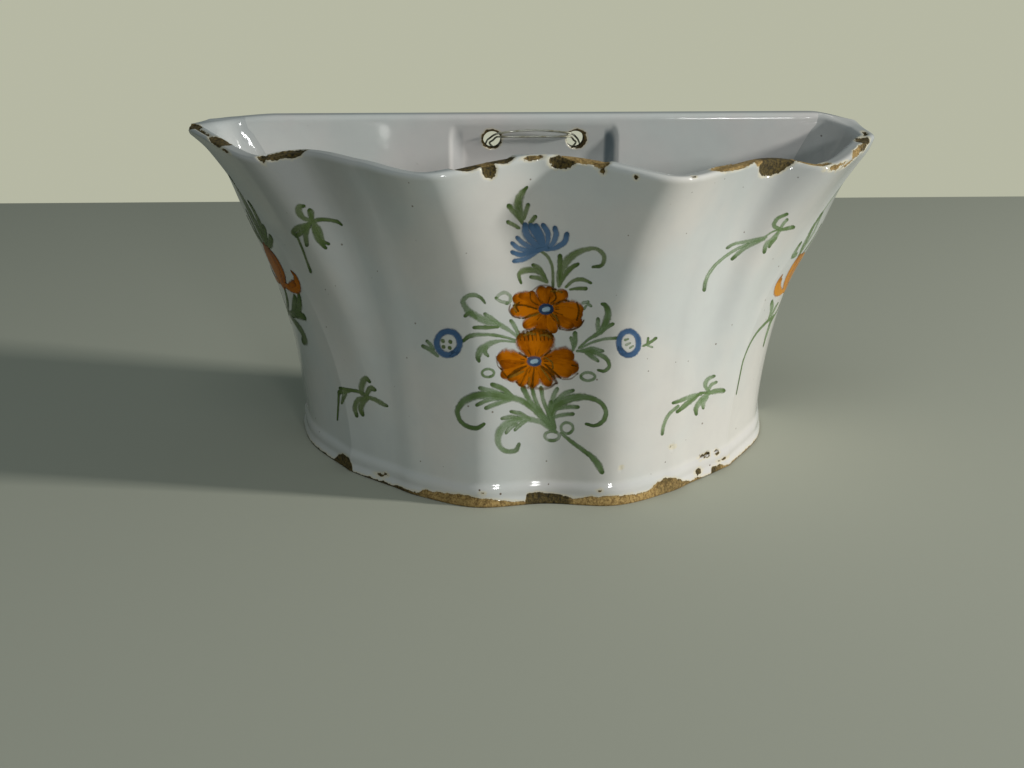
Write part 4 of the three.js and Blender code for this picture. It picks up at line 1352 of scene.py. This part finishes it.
painted(
    "painted_green_leaves", {0: green_strokes, 1: right_end_green},
    [(0.20, 0.29, 0.145), (0.11, 0.17, 0.06), (0.055, 0.10, 0.03)], 0.14, (0.52, 0.96), 0,
)
painted(
    "painted_olive_leaves", {0: olive_strokes, -1: left_end_green},
    [(0.18, 0.24, 0.095), (0.09, 0.14, 0.04), (0.045, 0.085, 0.02)], 0.14, (0.58, 0.97), 0.01,
)
painted(
    "painted_orange_petals", {0: orange_strokes, -1: left_end_orange},
    [(0.50, 0.145, 0.002), (0.27, 0.068, 0.001), (0.12, 0.036, 0.001)], 0.6, (0.96, 1.0), 0.08,
)
painted(
    "painted_paler_tulip", {1: right_end_orange},
    [(0.56, 0.24, 0.022), (0.42, 0.155, 0.008), (0.22, 0.085, 0.006)], 0.5, (0.94, 1.0), 0.08,
)
painted(
    "painted_blue_petals", {0: blue_strokes},
    [(0.12, 0.22, 0.37), (0.085, 0.165, 0.29), (0.035, 0.075, 0.12)], 0.2, (0.68, 0.95), 0.16,
)
painted(
    "painted_blue_rings", {0: blue_rings},
    [(0.08, 0.16, 0.30), (0.05, 0.10, 0.20), (0.03, 0.06, 0.11)], 0.15, (0.82, 0.98), 0.18,
)
painted(
    "painted_eye_rings", {0: eye_rings},
    [(0.04, 0.08, 0.16), (0.018, 0.036, 0.08), (0.012, 0.02, 0.04)], 0.15, (0.8, 0.97), 0.19,
)
painted(
    "painted_brown_lines", {0: brown_lines},
    [(0.13, 0.05, 0.003), (0.075, 0.03, 0.003), (0.04, 0.018, 0.002)], 0.1, (0.25, 0.75), 0.24,
)
painted(
    "painted_ochre_crumbs", {0: ochre_crumbs},
    [(0.26, 0.15, 0.02), (0.16, 0.09, 0.012), (0.08, 0.05, 0.01)], 0.2, (0.35, 0.75), 0.3,
)
painted(
    "painted_eye_lights", {0: eye_lights},
    [(0.34, 0.47, 0.55), (0.26, 0.40, 0.52), (0.15, 0.28, 0.42)], 0.4, (0.7, 0.95), 0.34,
)


# Hanging wire: one length of thin steel passed twice through both holes, its ends twisted
# together behind the plate
wire_radius = 0.35
wire_sides, wire_steps, turn_steps = 12, 14, 8
near_side = hole_spacing / 2
hole_thickness = plate - hollow_depth * (hole_below - hollow_start) / hollow_run
bore_middle = np.array([0, back_face - hole_thickness / 2, hole_height])
twist_top = np.array([0, 6.6, -9.6])
twist_radius, twist_turns, twist_length, twist_lean = 0.74, 3, 13.5, 1.2
route = [
    (-4.5, 6.9, -8.4), (-11.5, 6.6, -6.1), (-0.7 - near_side, 4, -2.4),
    (0.4 - near_side, 0, -0.6), (1.8 - near_side, -3.8, 1.1), (3.6 - near_side, -5.2, 1.35),
    (-6, -5.1, 1.3), (0, -5.1, 1.3), (6, -5.1, 1.3), (near_side - 3.6, -5.2, 1.35),
    (near_side - 1.8, -3.8, 1.1), (near_side - 0.4, 0, -0.6), (near_side + 0.7, 4, -2.4),
    (12.4, 5, -5.8), (6.5, 4.7, -8.5), (0, 4.6, -9.2), (-6.5, 4.7, -8.5), (-13.2, 5.1, -7),
    (-17.5, 5.5, -4.2), (-1.8 - near_side, 3.9, -1.5), (-0.6 - near_side, 0, 0.3),
    (0.9 - near_side, -3.9, 1.9), (2.5 - near_side, -6.1, 2.7), (-7, -6, 3.4), (0, -5.8, 3.7),
    (7, -6, 3.4), (near_side - 2.5, -6.1, 2.7), (near_side - 0.9, -3.9, 1.9),
    (near_side + 0.6, 0, 0.3), (near_side + 1.8, 3.9, -1.5), (near_side + 2.3, 6, -3.8),
    (12.5, 7.3, -6.4), (4.8, 7.4, -8.4),
]


def twist_strand(phase):
    down = np.linspace(0, 1, twist_turns * turn_steps + 1)
    angle = phase + down * twist_turns * 2 * math.pi
    return np.column_stack([
        twist_top[0] + twist_radius * np.cos(angle),
        twist_top[1] - down * twist_lean + twist_radius * np.sin(angle),
        twist_top[2] - down * twist_length,
    ])


given_points = np.vstack([twist_strand(math.pi)[::-1], np.array(route), twist_strand(0)])
wire_line = centripetal(given_points + bore_middle, wire_steps) * MM

tree = wire_tree = node_group(
    "round_wire", "GeometryNodeTree",
    {"Line": "Geometry", "Radius": "Float", "Sides": "Int", "Metal": "Material"},
    {"Wire": "Geometry"},
)
given = add_node(tree, "NodeGroupInput").outputs
circle = {"Resolution": given["Sides"], "Radius": given["Radius"]}
tube = output_of(tree, "GeometryNodeCurveToMesh", {
    "Curve": output_of(tree, "GeometryNodeMeshToCurve", {"Mesh": given["Line"]}),
    "Profile Curve": output_of(tree, "GeometryNodeCurvePrimitiveCircle", circle),
    "Fill Caps": True,
})
finish_tree(tree, tube, given["Metal"], "Wire")

steel, tree, shader = plain_material("dull_steel_wire")
place = output_of(tree, "ShaderNodeTexCoord", None, "Object")
tarnish = ramp(tree, noise(tree, place, 260.0, 4.0), 0.4, 0.65)
metal_colour = blend_colours(tree, tarnish, (0.62, 0.62, 0.54, 1), (0.34, 0.32, 0.22, 1))
metal_roughness = plus(tree, 0.28, times(tree, tarnish, 0.4))
tree.links.new(metal_colour, shader.inputs["Base Color"])
tree.links.new(metal_roughness, shader.inputs["Roughness"])
shader.inputs["Metallic"].default_value = 0.7

wire_mesh = bpy.data.meshes.new("wire_line")
wire_mesh.from_pydata(wire_line.tolist(), [(i, i + 1) for i in range(len(wire_line) - 1)], [])
hanging_wire = grown(
    "twisted_steel_wire", wire_mesh, wire_tree,
    {"Radius": wire_radius * MM, "Sides": wire_sides, "Metal": steel},
)
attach(hanging_wire, "hanger")
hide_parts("hanging_wire")


# Pale floor and backdrop, and three lamps: the window on the right, which throws the shadows,
# the broad light of the sky, and a small far pane that only the glaze shows
floor_half = 0.5
corners = [(x * floor_half, y * floor_half, 0) for x, y in ((-1, -1), (1, -1), (1, 1), (-1, 1))]
floor_mesh = bpy.data.meshes.new("floor")
floor_mesh.from_pydata(corners, [], [(0, 1, 2, 3)])
floor = bpy.data.objects.new("floor", floor_mesh)
bpy.context.scene.collection.objects.link(floor)
cloth, tree, shader = plain_material("pale_floor")
shader.inputs["Base Color"].default_value = (0.41, 0.42, 0.345, 1)
shader.inputs["Roughness"].default_value = 0.9
floor_mesh.materials.append(cloth)

world = bpy.data.worlds.new("room")
bpy.context.scene.world = world
world.use_nodes = True
tree = world.node_tree
room_light = tree.nodes["Background"].inputs
room_light["Color"].default_value = (0.50, 0.62, 0.62, 1)
room_light["Strength"].default_value = 0.22
backdrop = output_of(tree, "ShaderNodeBackground", {"Color": (0.47, 0.48, 0.37, 1)})
rays = add_node(tree, "ShaderNodeLightPath").outputs
plain_rays = maths(tree, "MAXIMUM", rays["Is Camera Ray"], rays["Is Transmission Ray"])
shown = {"Fac": plain_rays, 1: tree.nodes["Background"].outputs[0], 2: backdrop}
tree.links.new(
    output_of(tree, "ShaderNodeMixShader", shown), tree.nodes["World Output"].inputs["Surface"]
)


def lamp(name, place, aim, width, height, power, colour, mirrored=True):
    data = bpy.data.lights.new(name, "AREA")
    data.shape = "RECTANGLE"
    data.size = width
    data.size_y = height
    data.energy = power
    data.color = colour
    light = bpy.data.objects.new(name, data)
    light.location = place
    light.visible_glossy = mirrored
    direction = np.array(aim) - np.array(place)
    light.rotation_euler = Vector(direction).to_track_quat("-Z", "Y").to_euler()
    bpy.context.scene.collection.objects.link(light)


lamp("window", (1.51, -0.36, 0.54), (0, 0, 0.06), 0.13, 0.15, 23, (1, 0.98, 0.93))
lamp("sky", (-0.15, -0.8, 1.35), (0, 0, 0.05), 0.8, 0.8, 3.2, (0.95, 0.98, 1), mirrored=False)
lamp("far pane", (0.35, -1.36, 0.36), (0, 0, 0.03), 0.16, 0.12, 2.4, (1, 1, 1))
